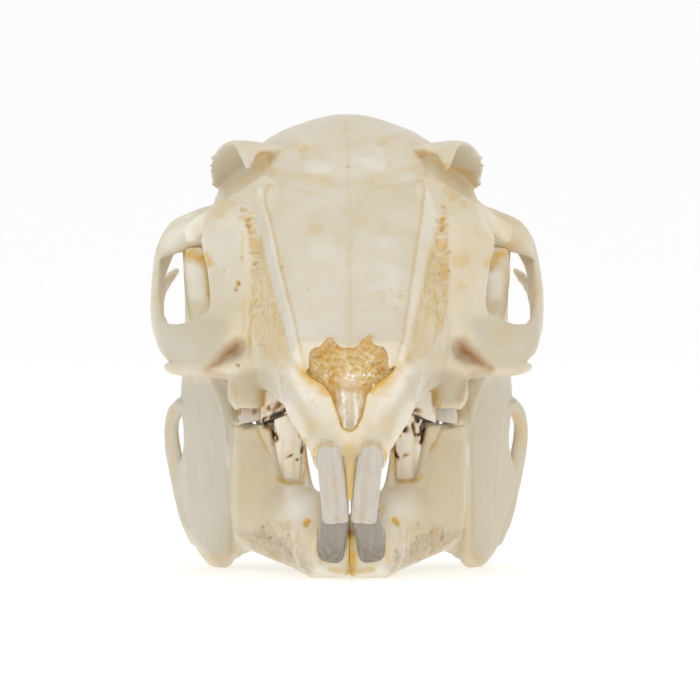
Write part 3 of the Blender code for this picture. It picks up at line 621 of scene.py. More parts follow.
# Washes (strength, softness of the edge in pixels, outline) of tan, mostly painted shade where the
# bone turns away under the brow, in the orbit and on the arch's root.
TAN_SHADE_AREAS = [
    (0.75, 6, [(251, 168), (255, 158), (262, 152), (270, 153), (271, 160), (264, 171), (250, 184)]),
    (0.65, 7, [(220, 186), (250, 170), (262, 168), (252, 183), (226, 196)]),
    (0.75, 6, [(416, 150), (424, 148), (434, 156), (446, 164), (470, 172), (482, 190), (486, 206),
               (470, 200), (456, 191), (438, 182), (424, 166)]),
    (0.42, 8, [(492, 212), (512, 212), (526, 226), (534, 246), (518, 246), (509, 238), (498, 224)]),
    (0.30, 14, [(222, 376), (240, 372), (262, 374), (284, 378), (282, 392), (262, 394),
         (240, 396)]),
    (0.30, 14, [(412, 378), (436, 374), (460, 376), (462, 396), (440, 392), (414, 390)]),
    (0.30, 10, [(337, 440), (361, 440), (352, 500), (347, 500)]),
    (0.35, 14, [(314, 418), (386, 418), (382, 446), (318, 446)]),
    (0.22, 34, [(404, 190), (548, 190), (548, 420), (404, 420)]),
    (0.25, 16, [(296, 404), (322, 410), (340, 440), (312, 440)]),
    (0.25, 16, [(402, 404), (376, 410), (360, 440), (388, 440)]),
]
# Painted shade: grey-brown washes where the snout's wall turns under toward the cheek teeth, and
# beside the nose's ridges, between the incisors and over the cheeks.
PAINTED_SHADE_AREAS = [
    (0.42, 12, [(226, 376), (240, 372), (262, 368), (286, 374), (292, 400), (262, 408),
         (240, 404)]),
    (0.46, 12, [(408, 376), (436, 370), (462, 374), (470, 380), (460, 404), (436, 408),
         (408, 398)]),
    (0.30, 9, [(286, 372), (297, 388), (310, 408), (320, 434), (310, 442), (298, 412), (284, 392)]),
    (0.30, 9, [(414, 372), (403, 388), (390, 408), (380, 434), (390, 442), (402, 412), (416, 392)]),
    (0.42, 8, [(338, 446), (360, 446), (352, 502), (347, 502)]),
    (0.14, 14, [(206, 226), (238, 230), (240, 310), (214, 314)]),
    (0.20, 16, [(306, 392), (340, 436), (344, 446), (312, 446)]),
    (0.20, 16, [(394, 392), (360, 436), (356, 446), (388, 446)]),
    (0.16, 12, [(160, 310), (230, 320), (222, 368), (166, 366)]),
    (0.16, 12, [(540, 310), (470, 320), (478, 368), (534, 366)]),
    (0.22, 5, [(258, 200), (270, 240), (284, 300), (296, 350), (288, 350), (274, 296), (262, 246),
         (254, 206)]),
]
# Washes of white: the forehead, the strips' upper ends, the flaps, below the hollows; and painted
# light on the arches' shaded faces and along the ridges beside the nose.
PALE_AND_LIT_AREAS = [
    (0.7, 8, [(304, 162), (318, 160), (332, 166), (330, 173), (314, 174), (305, 170)]),
    (0.7, 8, [(358, 160), (370, 156), (386, 162), (384, 170), (368, 170)]),
    (0.7, 6, [(183, 226), (192, 218), (202, 226), (202, 244), (183, 244)]),
    (0.8, 6, [(476, 202), (486, 204), (508, 234), (506, 240), (490, 238), (480, 222)]),
    (0.5, 8, [(225, 370), (240, 368), (240, 384), (228, 384)]),
    (0.15, 18, [(206, 232), (236, 236), (238, 300), (216, 310), (212, 270)]),
    (0.4, 18, [(290, 250), (345, 244), (345, 335), (300, 335)]),
    (0.3, 18, [(353, 236), (400, 240), (396, 330), (353, 335)]),
    (0.4, 12, [(324, 424), (376, 424), (374, 436), (328, 436)]),
    (0.65, 6, [(276, 362), (284, 357), (300, 377), (318, 399), (331, 424), (323, 430), (308, 405),
         (292, 387)]),
    (0.65, 6, [(424, 362), (416, 357), (400, 377), (382, 399), (369, 424), (377, 430), (392, 405),
         (408, 387)]),
    (0.9, 8, [(163, 244), (170, 226), (186, 214), (204, 214), (203, 226), (186, 232), (181, 252),
         (166, 256)]),
    (0.5, 12, [(160, 300), (172, 330), (200, 350), (190, 362), (166, 345)]),
    (0.5, 12, [(536, 300), (526, 330), (500, 352), (512, 362), (530, 345)]),
]
# Painted shade, greyer: under the brow plates and on the cheek roots, which face down.
GREY_SHADE_AREAS = [
    (0.55, 16, [(150, 312), (200, 318), (232, 312), (222, 345), (206, 372), (160, 368)]),
    (0.50, 16, [(548, 312), (500, 318), (466, 312), (476, 345), (492, 372), (538, 368)]),
    (0.8, 5, [(236, 142), (222, 146), (212, 158), (210, 172), (212, 188), (224, 186), (250, 170),
              (247, 158), (242, 148)]),
    (0.8, 5, [(450, 140), (468, 136), (478, 150), (484, 176), (474, 178), (452, 170), (443, 158)]),
]
# Painted shadow, brown, on the underside of the cheek arches' roots, as brush strokes.
UNDER_ROOT_SHADOW = [
    (0.5, 7, [(209, 373), (222, 378), (231, 388), (234, 404)]),
    (0.6, 8, [(489, 371), (476, 375), (466, 384), (461, 398)]),
]
# Near-black stains where the snout's wall meets the first cheek teeth, as brush strokes.
STAIN_LINES = [
    (0.9, 3.0, [(278, 414), (290, 408), (295, 407)]),
    (0.6, 4.0, [(264, 424), (280, 417), (292, 411)]),
    (0.7, 3.0, [(394, 414), (400, 410), (406, 412)]),
    (0.6, 2.5, [(418, 408), (424, 412), (420, 416)]),
]
# The edge of the nose opening, and the depth at which it was read off.
NOSE_OUTLINE = [
    (347, 432.5), (341.2, 428.5), (338, 418), (334.2, 406.7), (329.1, 394), (321.4, 385),
    (311.2, 378.7), (305, 373.8), (305.5, 370.4), (308, 368), (308.2, 360), (308.7, 353.2),
    (311.2, 349.3), (315, 347), (319.5, 346.3), (323.3, 341.5), (326.5, 338.5), (331.6, 338.5),
    (335.5, 342.3), (339.9, 346.8), (344.4, 347.8), (348.2, 347), (352, 348), (356.5, 346.1),
    (361, 341), (366.1, 337.9), (370.5, 335), (371.8, 340.4), (374.4, 344.2), (378.8, 345.5),
    (383.9, 346.8), (387.1, 351.3), (388.4, 357), (388.4, 364.6), (390.5, 368.6), (395.5, 366),
    (394.5, 370.5), (390.3, 374.8), (378.8, 383.8), (372.4, 388.9), (367.3, 396.5), (364.8, 406.7),
    (362.9, 416.9), (357.1, 428.4), (352, 432.5),
]
NOSE_Y = -30.0


def aimed(pixels, depth):
    """The (x, z) places at the given depth that show at the picture's pixels."""
    pixels = np.asarray(pixels, float)
    scale = FOCUS / (depth - EYE[1])
    tilt = (AIM - EYE)[0] / (AIM - EYE)[1]
    return np.column_stack([(pixels[:, 0] - PICTURE / 2) / scale + EYE[0] + tilt * (depth - EYE[1]),
                            EYE[2] - (pixels[:, 1] - PICTURE / 2) / scale])


def facing(mesh):
    """How squarely the mesh's points face the camera, 0 where they turn away."""
    points = places(mesh)
    toward = EYE - points
    toward /= np.linalg.norm(toward, axis=1, keepdims=True)
    return np.clip((toward * facings(mesh)).sum(1), 0, 1)


def strip_height(spot):
    """1 on the raised strips' middle lines and 0 past their edges."""
    height = np.zeros(len(spot))
    for table in STRIPS:
        table = np.array(table, float)
        gap, along = apart(spot, table[:, :2])
        half = np.interp(along, np.arange(len(table)), table[:, 2])
        height = np.maximum(height, 1 - ease(gap / half, 0.45, 1.2))
    return height


def seam_gap(spot, seams):
    """Distance in pixels to the nearest of the seams."""
    return np.min([apart(spot, seam)[0] for seam in seams], axis=0)


def network(points, spot, face):
    """Where the snout's wall is a network, and how far each point lies inside one of its openings:
    the gap between the two nearest strewn points, so that the bars run between the cells."""
    zone = np.max([ease(inside(spot, outline), -1, 4) for outline in NETWORK], axis=0) * face
    floor = np.max([ease(inside(spot, outline), -1, 2) for outline in RECESS], axis=0)
    here = np.nonzero((zone > 0) & (points[:, 1] < -5))[0]
    hole = np.zeros(len(points))
    mirrored = points[here] * np.where(points[here, :1] < 0, (-1, 1, 1), (1, 1, 1))
    mirrored = mirrored + 0.5 * np.stack([cloud(points[here], 0.7, k) for k in (1.0, 2.0, 3.0)], -1)
    for size, salt, share in ((np.array((1.2, 1.2, 1.7)), 3.0, 0.8),
                              (np.array((0.6, 0.6, 0.62)), 8.0, 0.8)):
        near, next_near = cells(mirrored, size, salt)
        hole[here] = np.maximum(hole[here], share * ease(next_near - near, 0.12, 0.4))
    return zone * (points[:, 1] < -5), hole * (1 - 0.7 * floor), floor * face


parts = [skull_body(), lump(*NAPE_SHIELD), strap(INCISOR_WEDGE)]
for side in (1, -1):
    parts += [strap(form, side) for form in (
        EYE_RIM, ARCH, CHEEK_SPUR, CHEEK_SPINE, BROW, WING_PLATE, NECK_SPUR, EAR_TUBE, TEAR_FLAP,
        INCISOR_SHEATH, CHEEK_WALL, TOOTH_WALL, JOINT_SHELF)]
    parts += [lump(*EAR_CAPSULE, side), lump(*NECK_JOINT, side)]
    parts += [lump(chip, (size, 1.6 * size, size), side, 8, 12) for chip, size in BROW_CHIPS]
cranium = skinned("cranium_bone", parts)

points, normals = places(cranium.data), facings(cranium.data)
spot = np.stack(seen(points), -1)
toward = facing(cranium.data)
face = ease(toward, 0.05, 0.3) * (points[:, 1] < FACE_BACK)
low_face = face * (points[:, 1] < SNOUT_BACK)
strips = strip_height(spot) * face
zone, hole, floor = network(points, spot, low_face)
hollow = np.max([ease(inside(spot, outline), -6, 15) for outline in HOLLOW], axis=0)
# The relief in millimetres, out from the skin.
STRIP_HEIGHT, SIDE_SEAM_DEPTH, FAINT_SEAM_DEPTH = 0.16, 0.07, 0.05
HOLE_DEPTH, RECESS_DEPTH, PIT_DEPTH, HOLLOW_DEPTH = 0.28, 0.2, 0.45, 1.25
BROAD_WAVES, FINE_WAVES = 0.09, 0.04
SEAM_EDGE = (0.3, 2.0)                          # pixels from a seam over which it fades
rise = STRIP_HEIGHT * strips
rise -= SIDE_SEAM_DEPTH * (1 - ease(seam_gap(spot, SIDE_SEAMS), *SEAM_EDGE)) * face
rise -= FAINT_SEAM_DEPTH * (1 - ease(seam_gap(spot, FAINT_SEAMS), *SEAM_EDGE)) * face
rise -= (HOLE_DEPTH * hole + RECESS_DEPTH * floor) * zone * (1 - strips)
rise -= PIT_DEPTH * dots(spot, PITS) * face
rise -= HOLLOW_DEPTH * hollow * low_face
rise += BROAD_WAVES * (cloud(points, 1.3, 2.0) - 0.5) + FINE_WAVES * (cloud(points, 0.5, 5.0) - 0.5)
put_places(cranium.data, points + normals * rise[:, None])

spare = (toward < 0.02) | (points[:, 1] > 6)
thinned(cranium, spare & (zone < 0.2))

cutters = [prism(aimed(NOSE_OUTLINE, NOSE_Y), -34.0, -26.0, 0.96), strap(THROAT), lump(*NAPE_HOLE)]
for side in (1, -1):
    cutters += [strap(EAR_HOLE, side), strap(PALATE_SLIT, side)]
cut(cranium, cutters)
mesh = cranium.data

points, normals = places(mesh), facings(mesh)
spot = np.stack(seen(points), -1)
face = ease(facing(mesh), 0.02, 0.2) * (points[:, 1] < FACE_BACK)
low_face = face * (points[:, 1] < SNOUT_BACK)
zone, hole, floor = network(points, spot, low_face)
strips = strip_height(spot) * face * (points[:, 1] < 6)
cavity = ease(inside(spot, NOSE_OUTLINE), -0.8, 0.6) * (points[:, 1] > -30.4) * (points[:, 1] < -24)
jitter = 2.4 * np.stack([cloud(points, 0.45, 7.0), cloud(points, 0.45, 8.0)], -1) - 1.2
hand = spot + jitter
blots = spot + 9.0 * np.stack([cloud(points, 0.6, 17.0), cloud(points, 0.6, 18.0)], -1) - 4.5
mottle = 0.55 + 0.9 * cloud(points, 0.35, 11.0)
note(mesh, "amber", np.clip(np.maximum.reduce([
    0.42 * (1 - ease(seam_gap(spot, SIDE_SEAMS), 0.4, 2.2)) * face * mottle,
    0.14 * (1 - ease(seam_gap(spot, FAINT_SEAMS), 0.5, 3.0)) * face,
    zone * (0.2 + 0.5 * hole * mottle + 0.05 * floor) * (1 - strips),
    dots(blots, WARM) * face * mottle,
    strokes(hand, AMBER_LINES) * face * np.clip(mottle, 0, 1.1),
    cavity,
]), 0, 1))
# Painted shade: brown in the hollows where the cheek arches spring and under the arches' roots.
hollow = np.max([ease(inside(spot, outline), -3, 13) for outline in HOLLOW], axis=0) * low_face
root_shadow = strokes(hand, UNDER_ROOT_SHADOW) * low_face
note(mesh, "brown", np.maximum(0.95 * hollow, 0.6 * root_shadow))
# Painted shade: the grey-brown washes.
note(mesh, "shade", washes(hand, PAINTED_SHADE_AREAS) * low_face)
# Painted shade: tan in the washes, and faintly on every face that turns downward.
note(mesh, "tan", np.maximum(washes(hand, TAN_SHADE_AREAS) * face,
                             0.12 * ease(-normals[:, 2], 0.3, 0.95)))
soft = cloud(points * (0.45, 0.22, 0.3), 1.0, 21.0)
# Pale: whiter bone, with painted light on the arches' shaded faces and the ridges beside the nose.
note(mesh, "pale", np.clip(np.maximum(0.42 * strips, 0.72 * washes(hand, PALE_AND_LIT_AREAS) * face)
                           + 0.28 * ease(soft, 0.5, 0.85), 0, 1))
# Painted shade, grey: under the brow plates, where faces turn downward, and on the cheek roots.
note(mesh, "thin", washes(spot, GREY_SHADE_AREAS) * face * np.where(
    points[:, 2] > 30, ease(-normals[:, 2], -0.35, 0.1), 1.0))
note(mesh, "stain", strokes(hand, STAIN_LINES) * low_face * (points[:, 1] > -13)
     * np.clip(mottle, 0, 1))


def linear(code):
    """The shader's colour for an sRGB hex value: the standard's curve, straight below 0.04."""
    part = np.array([int(code[i:i + 2], 16) / 255 for i in (1, 3, 5)])
    part = np.where(part <= 0.04045, part / 12.92, ((part + 0.055) / 1.055) ** 2.4)
    return (*part.tolist(), 1.0)


def add(tree, kind, settings=None, **links):
    """Adds a node with its own settings, each socket filled by a number or from another node."""
    made = tree.nodes.new(kind)
    for name, value in (settings or {}).items():
        setattr(made, name, value)
    for name, value in links.items():
        key = int(name[1:]) if name[1:].isdigit() else name.replace("_", " ")
        if isinstance(value, bpy.types.NodeSocket):
            tree.links.new(value, made.inputs[key])
        else:
            made.inputs[key].default_value = value
    return made


def surface(name):
    """An empty material, its node tree and its shader."""
    made = bpy.data.materials.new(name)
    made.use_nodes = True
    return made, made.node_tree, made.node_tree.nodes["Principled BSDF"]


def washed(tree, colour, washes_of_colour):
    """Lays each colour over the last one, as strongly as the mesh's mask of that name says."""
    for code, mask in washes_of_colour:
        part = add(tree, "ShaderNodeAttribute", {"attribute_name": mask}).outputs["Fac"]
        colour = add(tree, "ShaderNodeMix", {"data_type": "RGBA"}, _0=part, _6=colour,
                     _7=linear(code)).outputs[2]
    return colour


def tuned(shader, **numbers):
    """Sets numbers on the shader's own sockets."""
    for name, value in numbers.items():
        shader.inputs[name.replace("_", " ")].default_value = value


def stained(tree, colour):
    """Stains the colour: amber where the stain is thin, then brown, nearly black where thick."""
    stain = add(tree, "ShaderNodeAttribute", {"attribute_name": "stain"}).outputs["Fac"]
    for power, code in ((0.7, "#D39D45"), (1.4, "#764510"), (3.0, "#1A1007")):
        part = add(tree, "ShaderNodeMath", {"operation": "POWER"}, _0=stain, _1=power).outputs[0]
        colour = add(tree, "ShaderNodeMix", {"data_type": "RGBA"}, _0=part, _6=colour,
                     _7=linear(code)).outputs[2]
    return colour


# Cleaned and bleached bone: waxy, cream where it is thick, amber where fat shows through thin
# places. Grey, tan, grey-brown and brown washes and some amber strokes are painted shade under
# ledges and in hollows; white washes are partly painted light. Patches of some 6 mm, mottles of
# 1 mm and grain of about 0.3 mm.
bone, tree, shader = surface("bleached_bone")
place = add(tree, "ShaderNodeTexCoord").outputs["Object"]
patch = add(tree, "ShaderNodeTexNoise", Vector=place, Scale=170.0, Detail=5.0, Roughness=0.62,
            Distortion=0.6)
mottles = add(tree, "ShaderNodeTexNoise", Vector=place, Scale=900.0, Detail=4.0, Roughness=0.6)
grain = add(tree, "ShaderNodeTexNoise", Vector=place, Scale=2600.0, Detail=3.0)
colour = add(tree, "ShaderNodeMix", {"data_type": "RGBA"}, _0=add(
    tree, "ShaderNodeMapRange", Value=patch.outputs["Fac"], From_Min=0.36,
    From_Max=0.64).outputs[0],
    _6=linear("#E5DDC9"), _7=linear("#E0D3B4")).outputs[2]
colour = add(tree, "ShaderNodeMix", {"data_type": "RGBA"}, _0=add(
    tree, "ShaderNodeMapRange", Value=mottles.outputs["Fac"], From_Min=0.56, From_Max=0.74,
    To_Max=0.4).outputs[0], _6=colour, _7=linear("#E2C88C")).outputs[2]
colour = washed(tree, colour, (("#F4F0E4", "pale"), ("#D0CAB8", "thin"), ("#DCC59A", "tan"),
                               ("#A2967E", "shade"), ("#DBB042", "amber"), ("#A0702F", "brown")))
colour = stained(tree, colour)
tree.links.new(colour, shader.inputs["Base Color"])
tuned(shader, Roughness=0.4, IOR=1.5, Subsurface_Weight=0.25, Subsurface_Radius=(1.0, 0.8, 0.55),
      Subsurface_Scale=0.0008)
bump = add(tree, "ShaderNodeBump", Height=grain.outputs["Fac"], Strength=0.12, Distance=0.0001)
tree.links.new(bump.outputs[0], shader.inputs["Normal"])


def dressed(thing, nodes, material, angle=50):
    """Gives a piece its material, smooth shading but for edges, and its place in the frame."""
    thing.data.materials.clear()
    thing.data.materials.append(material)
    thing.data.shade_smooth()
    thing.data.set_sharp_from_angle(angle=np.radians(angle))
    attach(thing, "root")
    if nodes:
        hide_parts(nodes)


dressed(cranium, "cranium", bone)

# The scrolls inside the nose: paper-thin bone rolled into cells and soaked with fat, so it is amber
# and wet, with pale lines where the sheets stand on edge. Below them lies a pale wet tongue.
# The tongue's edge, and the two rolls that run down it.
TONGUE = [(338, 392), (361, 392), (360.5, 408), (357, 420), (353, 429), (346, 430), (342, 422),
          (339.5, 408)]
ROLL_COLUMNS = (343.8, 355.8)
# Painted highlights, white in the colour, for glints on the wet fat: drops, and runs down the
# tongue.
PAINTED_GLINT_DROPS = [
    (326, 375.5, 1.6, 0.9), (330, 374, 1.2, 0.8), (347.5, 375, 1.7, 1.0), (353, 376, 1.7, 1.0),
    (352, 380, 1.4, 0.9),
    (346, 378, 1.3, 0.8), (369, 374.5, 1.4, 1.0), (364.5, 374.5, 1.2, 0.9), (373.7, 375, 1.2, 0.8),
    (370, 361, 1.2, 0.9), (367, 362.5, 1.2, 0.9), (360, 395, 1.3, 0.7), (349, 372, 1.2, 0.7),
    (336, 379, 1.0, 0.7),
]
PAINTED_GLINT_RUNS = [
    (1.0, 1.8, [(343.5, 411), (345.5, 417), (344.5, 427)]),
    (1.0, 1.6, [(355.5, 405), (356.5, 414), (355.5, 424)]),
    (0.9, 1.6, [(343, 393), (344, 397), (343.5, 402)]), (0.7, 1.2, [(354, 400), (356, 403)]),
]
across, down = np.meshgrid(np.linspace(298, 402, 200), np.linspace(330, 438, 210))
spot = np.stack([across.ravel(), down.ravel()], -1)
flat = aimed(spot, -29.6)
depth = -28.9 - 2.1 * (flat[:, 1] - 9.9) / 8.6 + 0.75
points = np.column_stack([flat[:, 0], depth, flat[:, 1]])
bent = points * (1, 0, 1) + 0.5 * np.stack([cloud(points, 0.7, k) for k in (1.0, 2.0, 3.0)], -1)
near, next_near = cells(bent, 0.62, 4.0)
fine, next_fine = cells(bent, 0.34, 14.0)
wall = ease(inside(spot, NOSE_OUTLINE), 0, 9)
low = ease(spot[:, 1] + 6 * cloud(points, 0.8, 31.0), 384, 396)
tongue = ease(inside(spot + 5 * cloud(points, 0.7, 30.0)[:, None] - 2.5, TONGUE), -5.0, 3.0)
ridge = np.max([1 - ease(np.abs(spot[:, 0] + 2.4 * cloud(points, 0.8, 33.0) - 1.2 - x), 0.5, 6.0)
                for x in ROLL_COLUMNS], axis=0) * tongue
rise = (0.30 * (1 - near) + 0.08 * (1 - fine)) * (1 - low) * (0.4 + 0.6 * wall)
rise += (0.08 * tongue + 0.22 * ridge + 0.12 * cloud(points, 0.5, 6.0)
         + 0.10 * cloud(points, 1.0, 16.0))
rise += 0.45 * low * (1 - wall) + 0.3 * (1 - low) * (1 - wall)
rise += 0.45 * np.exp(-((spot[:, 0] - 349) / 24) ** 2 - ((spot[:, 1] - 374) / 20) ** 2)
points[:, 1] -= rise - 3.0 * ease(-inside(spot, NOSE_OUTLINE), 0.5, 3.0)
rows, columns = across.shape
here = np.arange(rows * columns).reshape(rows, columns)
sheet = np.stack([here[:-1, :-1], here[1:, :-1], here[1:, 1:], here[:-1, 1:]], -1).reshape(-1, 4)
behind = rows * columns
rim = np.concatenate([here[0], here[1:, -1], here[-1, -2::-1], here[-2:0:-1, 0]])
walls = np.stack([rim, np.roll(rim, -1), np.roll(rim, -1) + behind, rim + behind], -1)
rolls = new_object("nose_scrolls", np.concatenate([points, points + (0, 1.2, 0)]),
                   sheet.tolist() + (sheet[:, ::-1] + behind).tolist() + walls.tolist())
lines = np.maximum(1 - ease(next_near - near, 0.03, 0.2),
                   0.35 * (1 - ease(next_fine - fine, 0.04, 0.25)))
lines = lines * (0.35 + 0.65 * cloud(points, 0.9, 19.0))
# Deeper amber: fat at the opening's edges and top, and painted shade in the channels beside the
# tongue.
rich = np.maximum.reduce([0.9 * (1 - wall), low * (1 - tongue),
                          0.8 * ease(cloud(points, 1.2, 23.0), 0.5, 0.8),
                          0.7 * (1 - ease(spot[:, 1], 345, 362))])
note(rolls.data, "lines", np.concatenate([lines * (1 - low) * (1 - 0.6 * rich)] * 2))
note(rolls.data, "rich", np.concatenate([rich] * 2))
note(rolls.data, "tongue", np.concatenate([np.maximum(tongue, 0.55 * np.exp(
    -((spot[:, 0] - 349) / 12) ** 2 - ((spot[:, 1] - 382) / 10) ** 2))] * 2))
hand = spot + 2.0 * np.stack([cloud(points, 0.25, 41.0), cloud(points, 0.25, 42.0)], -1) - 1.0
# Painted highlights: white where the glints fall.
painted_glint = np.maximum(dots(hand, PAINTED_GLINT_DROPS), strokes(hand, PAINTED_GLINT_RUNS))
note(rolls.data, "painted_glint", np.concatenate([painted_glint] * 2))
scroll, tree, shader = surface("fatty_scroll_bone")
place = add(tree, "ShaderNodeTexCoord").outputs["Object"]
cloudy = add(tree, "ShaderNodeTexNoise", Vector=place, Scale=700.0, Detail=3.0)
colour = add(tree, "ShaderNodeMix", {"data_type": "RGBA"}, _0=cloudy.outputs["Fac"],
             _6=linear("#D8B563"), _7=linear("#C8982F")).outputs[2]
colour = washed(tree, colour, (("#CA951F", "rich"), ("#EADBAE", "lines"), ("#E6DAC0", "tongue"),
                               ("#FFFFFA", "painted_glint")))
tree.links.new(colour, shader.inputs["Base Color"])
ripple = add(tree, "ShaderNodeTexNoise", Vector=place, Scale=900.0, Detail=1.0).outputs["Fac"]
bump = add(tree, "ShaderNodeBump", Height=ripple, Strength=0.45, Distance=0.0004)
tree.links.new(bump.outputs[0], shader.inputs["Normal"])
tree.links.new(bump.outputs[0], shader.inputs["Coat Normal"])
tuned(shader, Roughness=0.22, Coat_Weight=1.0, Coat_Roughness=0.05, Subsurface_Weight=0.3,
      Subsurface_Radius=(1.0, 0.6, 0.3), Subsurface_Scale=0.001)
dressed(rolls, "cranium", scroll)

# The teeth. Each is its own piece of dentine under enamel and stands in a socket in the bone. The
# long upper incisors have a groove down the front, and small peg incisors stand behind them.
UPPER_INCISOR = [
    ((1.78, -28.6, 13.0), (1.78, -26.9, 12.8), 1.7),
    ((1.74, -29.45, 10.9), (1.74, -27.3, 10.8), 1.9),
    ((1.46, -29.15, 8.7), (1.46, -27.1, 8.8), 2.1),
    ((1.19, -28.25, 6.1), (1.19, -26.6, 6.8), 2.18),
    ((1.10, -27.5, 4.4), (1.10, -26.5, 5.4), 2.05),
]
PEG_INCISOR = [
    ((1.5, -26.3, 13.0), (1.5, -25.2, 12.8), 1.1),
    ((1.5, -26.2, 10.8), (1.5, -25.1, 10.8), 1.1),
    ((1.4, -25.9, 8.2), (1.4, -25.1, 8.4), 1.0),
]
LOWER_INCISOR = {
    -1: [((1.6, -22.4, 1.3), (1.6, -21.8, 3.1), 2.2),
         ((1.53, -24.5, 1.3), (1.53, -23.4, 3.3), 2.25),
         ((1.36, -26.0, 2.75), (1.36, -24.5, 4.1), 2.3),
         ((1.1, -26.3, 4.9), (1.1, -25.3, 5.3), 2.2)],
    1: [((1.9, -22.4, 1.3), (1.9, -21.8, 3.1), 2.2), ((1.82, -24.5, 1.3), (1.82, -23.4, 3.3), 2.25),
        ((1.62, -26.0, 2.75), (1.62, -24.5, 4.1), 2.3),
        ((1.2, -26.3, 4.9), (1.2, -25.3, 5.3), 2.25)],
}
# Cheek teeth: middle and half-width across, front, length, lean, how far past the bite, and slope.
UPPER_CHEEK = [
    ("premolar_2", 5.85, 1.25, -10.8, 1.4, 0.3, 0.4, 0.42),
    ("premolar_3", 7.1, 1.75, -8.9, 1.9, 0.9, 0.05, 0.2),
    ("premolar_4", 7.2, 1.75, -6.7, 1.9, 0.9, 0, 0), ("molar_1", 7.1, 1.7, -4.5, 1.9, 0.9, 0, 0),
    ("molar_2", 6.8, 1.6, -2.3, 1.8, 0.8, 0, 0), ("molar_3", 6.3, 0.9, -0.2, 0.9, 0.5, 0, 0),
]
LOWER_CHEEK = [
    ("premolar_3", 4.75, 1.22, -11.3, 2.7, -0.1, 0.9, 0.45),
    ("premolar_4", 5.6, 1.35, -8.2, 2.0, -0.3, 0, 0),
    ("molar_1", 5.9, 1.25, -5.9, 2.0, -0.4, 0, 0), ("molar_2", 6.2, 1.25, -3.6, 2.0, -0.4, 0, 0),
    ("molar_3", 6.5, 0.9, -1.3, 1.4, -0.4, 0, 0),
]
PITCH, BITE_Y, BITE, GAP = 2.0, -10.0, 12.25, 0.2
UPPER_ROOT, LOWER_ROOT, LEAN_HEIGHT = BITE + 5.0, BITE - 7.4, 5.0
# How much wider the sockets are than the teeth, and how much deeper the cheek teeth's are.
INCISOR_PLAY, CHEEK_PLAY, SOCKET_END = 0.01, 0.012, 0.1


def rod(stations, side, groove=None, sides=64, steps=14, square=0.6, grow=0.0):
    """An incisor: the strap's band, its front sunk by a bell curve across it at the groove."""
    rows = smooth(np.array([(*a, *b, t) for a, b, t in stations], float), steps)
    one, other, thick = rows[:, :3], rows[:, 3:6], rows[:, 6:] + 2 * grow
    middle, half = (one + other) / 2, (other - one) / 2
    half *= 1 + grow / np.linalg.norm(half, axis=1, keepdims=True)
    across = np.cross(np.gradient(middle, axis=0), half)
    across *= thick / 2 / np.linalg.norm(across, axis=1, keepdims=True)
    angle = 2 * np.pi * (np.arange(sides) + 0.5) / sides
    up = np.sign(np.cos(angle)) * np.abs(np.cos(angle)) ** square
    out = np.sign(np.sin(angle)) * np.abs(np.sin(angle)) ** square
    if groove is not None:
        up = up + np.where(up < 0, 0.13 * np.exp(-((out - groove) / 0.16) ** 2), 0)
    up, out = up[None, :, None], out[None, :, None]
    rings = middle[:, None] + half[:, None] * up + across[:, None] * out
    return closed_surface(rings * (side, 1, 1))


def column(place, side, root, crown, grow=0.0, sides=96, rows=44):
    """A cheek tooth: a rounded square (superellipse) with a groove down each side and fine ribs,
    carried from root to crown. The chewing face slopes outward and is closed by shrinking rings."""
    middle, half, front, length, lean, past, slope = place
    turn = 2 * np.pi * (np.arange(sides) + 0.5) / sides
    x = np.sign(np.cos(turn)) * np.abs(np.cos(turn)) ** 0.5
    y = np.sign(np.sin(turn)) * np.abs(np.sin(turn)) ** 0.5
    flute = 1 - 0.16 * np.exp(-(y / 0.16) ** 2)
    ribs = 1 - 0.022 * np.cos(2 * np.pi * x * half / 0.62)
    steps = [(s, 1.0) for s in np.linspace(0, 1, rows)] + [(1, s) for s in (0.96, 0.85, 0.6, 0.3)]
    rings = []
    for share, size in steps:
        height = root + (crown + past - root) * share
        ring_y = front + length / 2 + y * ribs * size * (length / 2 + grow)
        ring_x = middle - lean * abs(height - BITE) / LEAN_HEIGHT + x * flute * size * (half + grow)
        z = (height + np.tan(np.radians(PITCH)) * (ring_y - BITE_Y)
             - slope * share**3 * (ring_x - middle))
        z = z - 0.10 * (size < 0.9) * (1 - size)
        rings.append(np.column_stack([ring_x, ring_y, z]) * (side, 1, 1))
    return closed_surface(np.array(rings))


# Where the teeth and the bone beside them are stained: brown-black at the bite, amber at the gums.
BITE_STAINS = [
    (1.0, 4.6, [(276, 414), (286, 410), (295, 406)]),
    (0.8, 4.4, [(265, 421), (274, 417), (284, 412)]),
    (0.9, 4.5, [(266, 426), (272, 430), (275, 438)]), (0.6, 5, [(270, 408), (280, 404)]),
    (0.6, 1.5, [(272, 426), (273, 446)]), (0.5, 3.5, [(290, 417), (297, 419), (301, 423)]),
    (0.9, 1.7, [(287, 454), (291, 455)]), (0.8, 1.5, [(287, 459), (289, 458)]),
    (0.7, 1.4, [(296, 459), (298, 460)]), (0.8, 1.8, [(302, 452), (303, 447)]),
    (0.95, 4.2, [(396, 420), (401, 426), (406, 431)]),
    (0.95, 5.5, [(418, 418), (422, 428), (419, 440)]),
    (0.7, 2.4, [(413, 424), (416, 440)]), (0.8, 2.2, [(392, 440), (394, 450), (398, 458)]),
    (0.5, 3.5, [(404, 410), (412, 412), (418, 410)]), (0.6, 2, [(404, 456), (408, 452)]),
    (0.45, 5, [(240, 412), (246, 408), (254, 411)]),
]
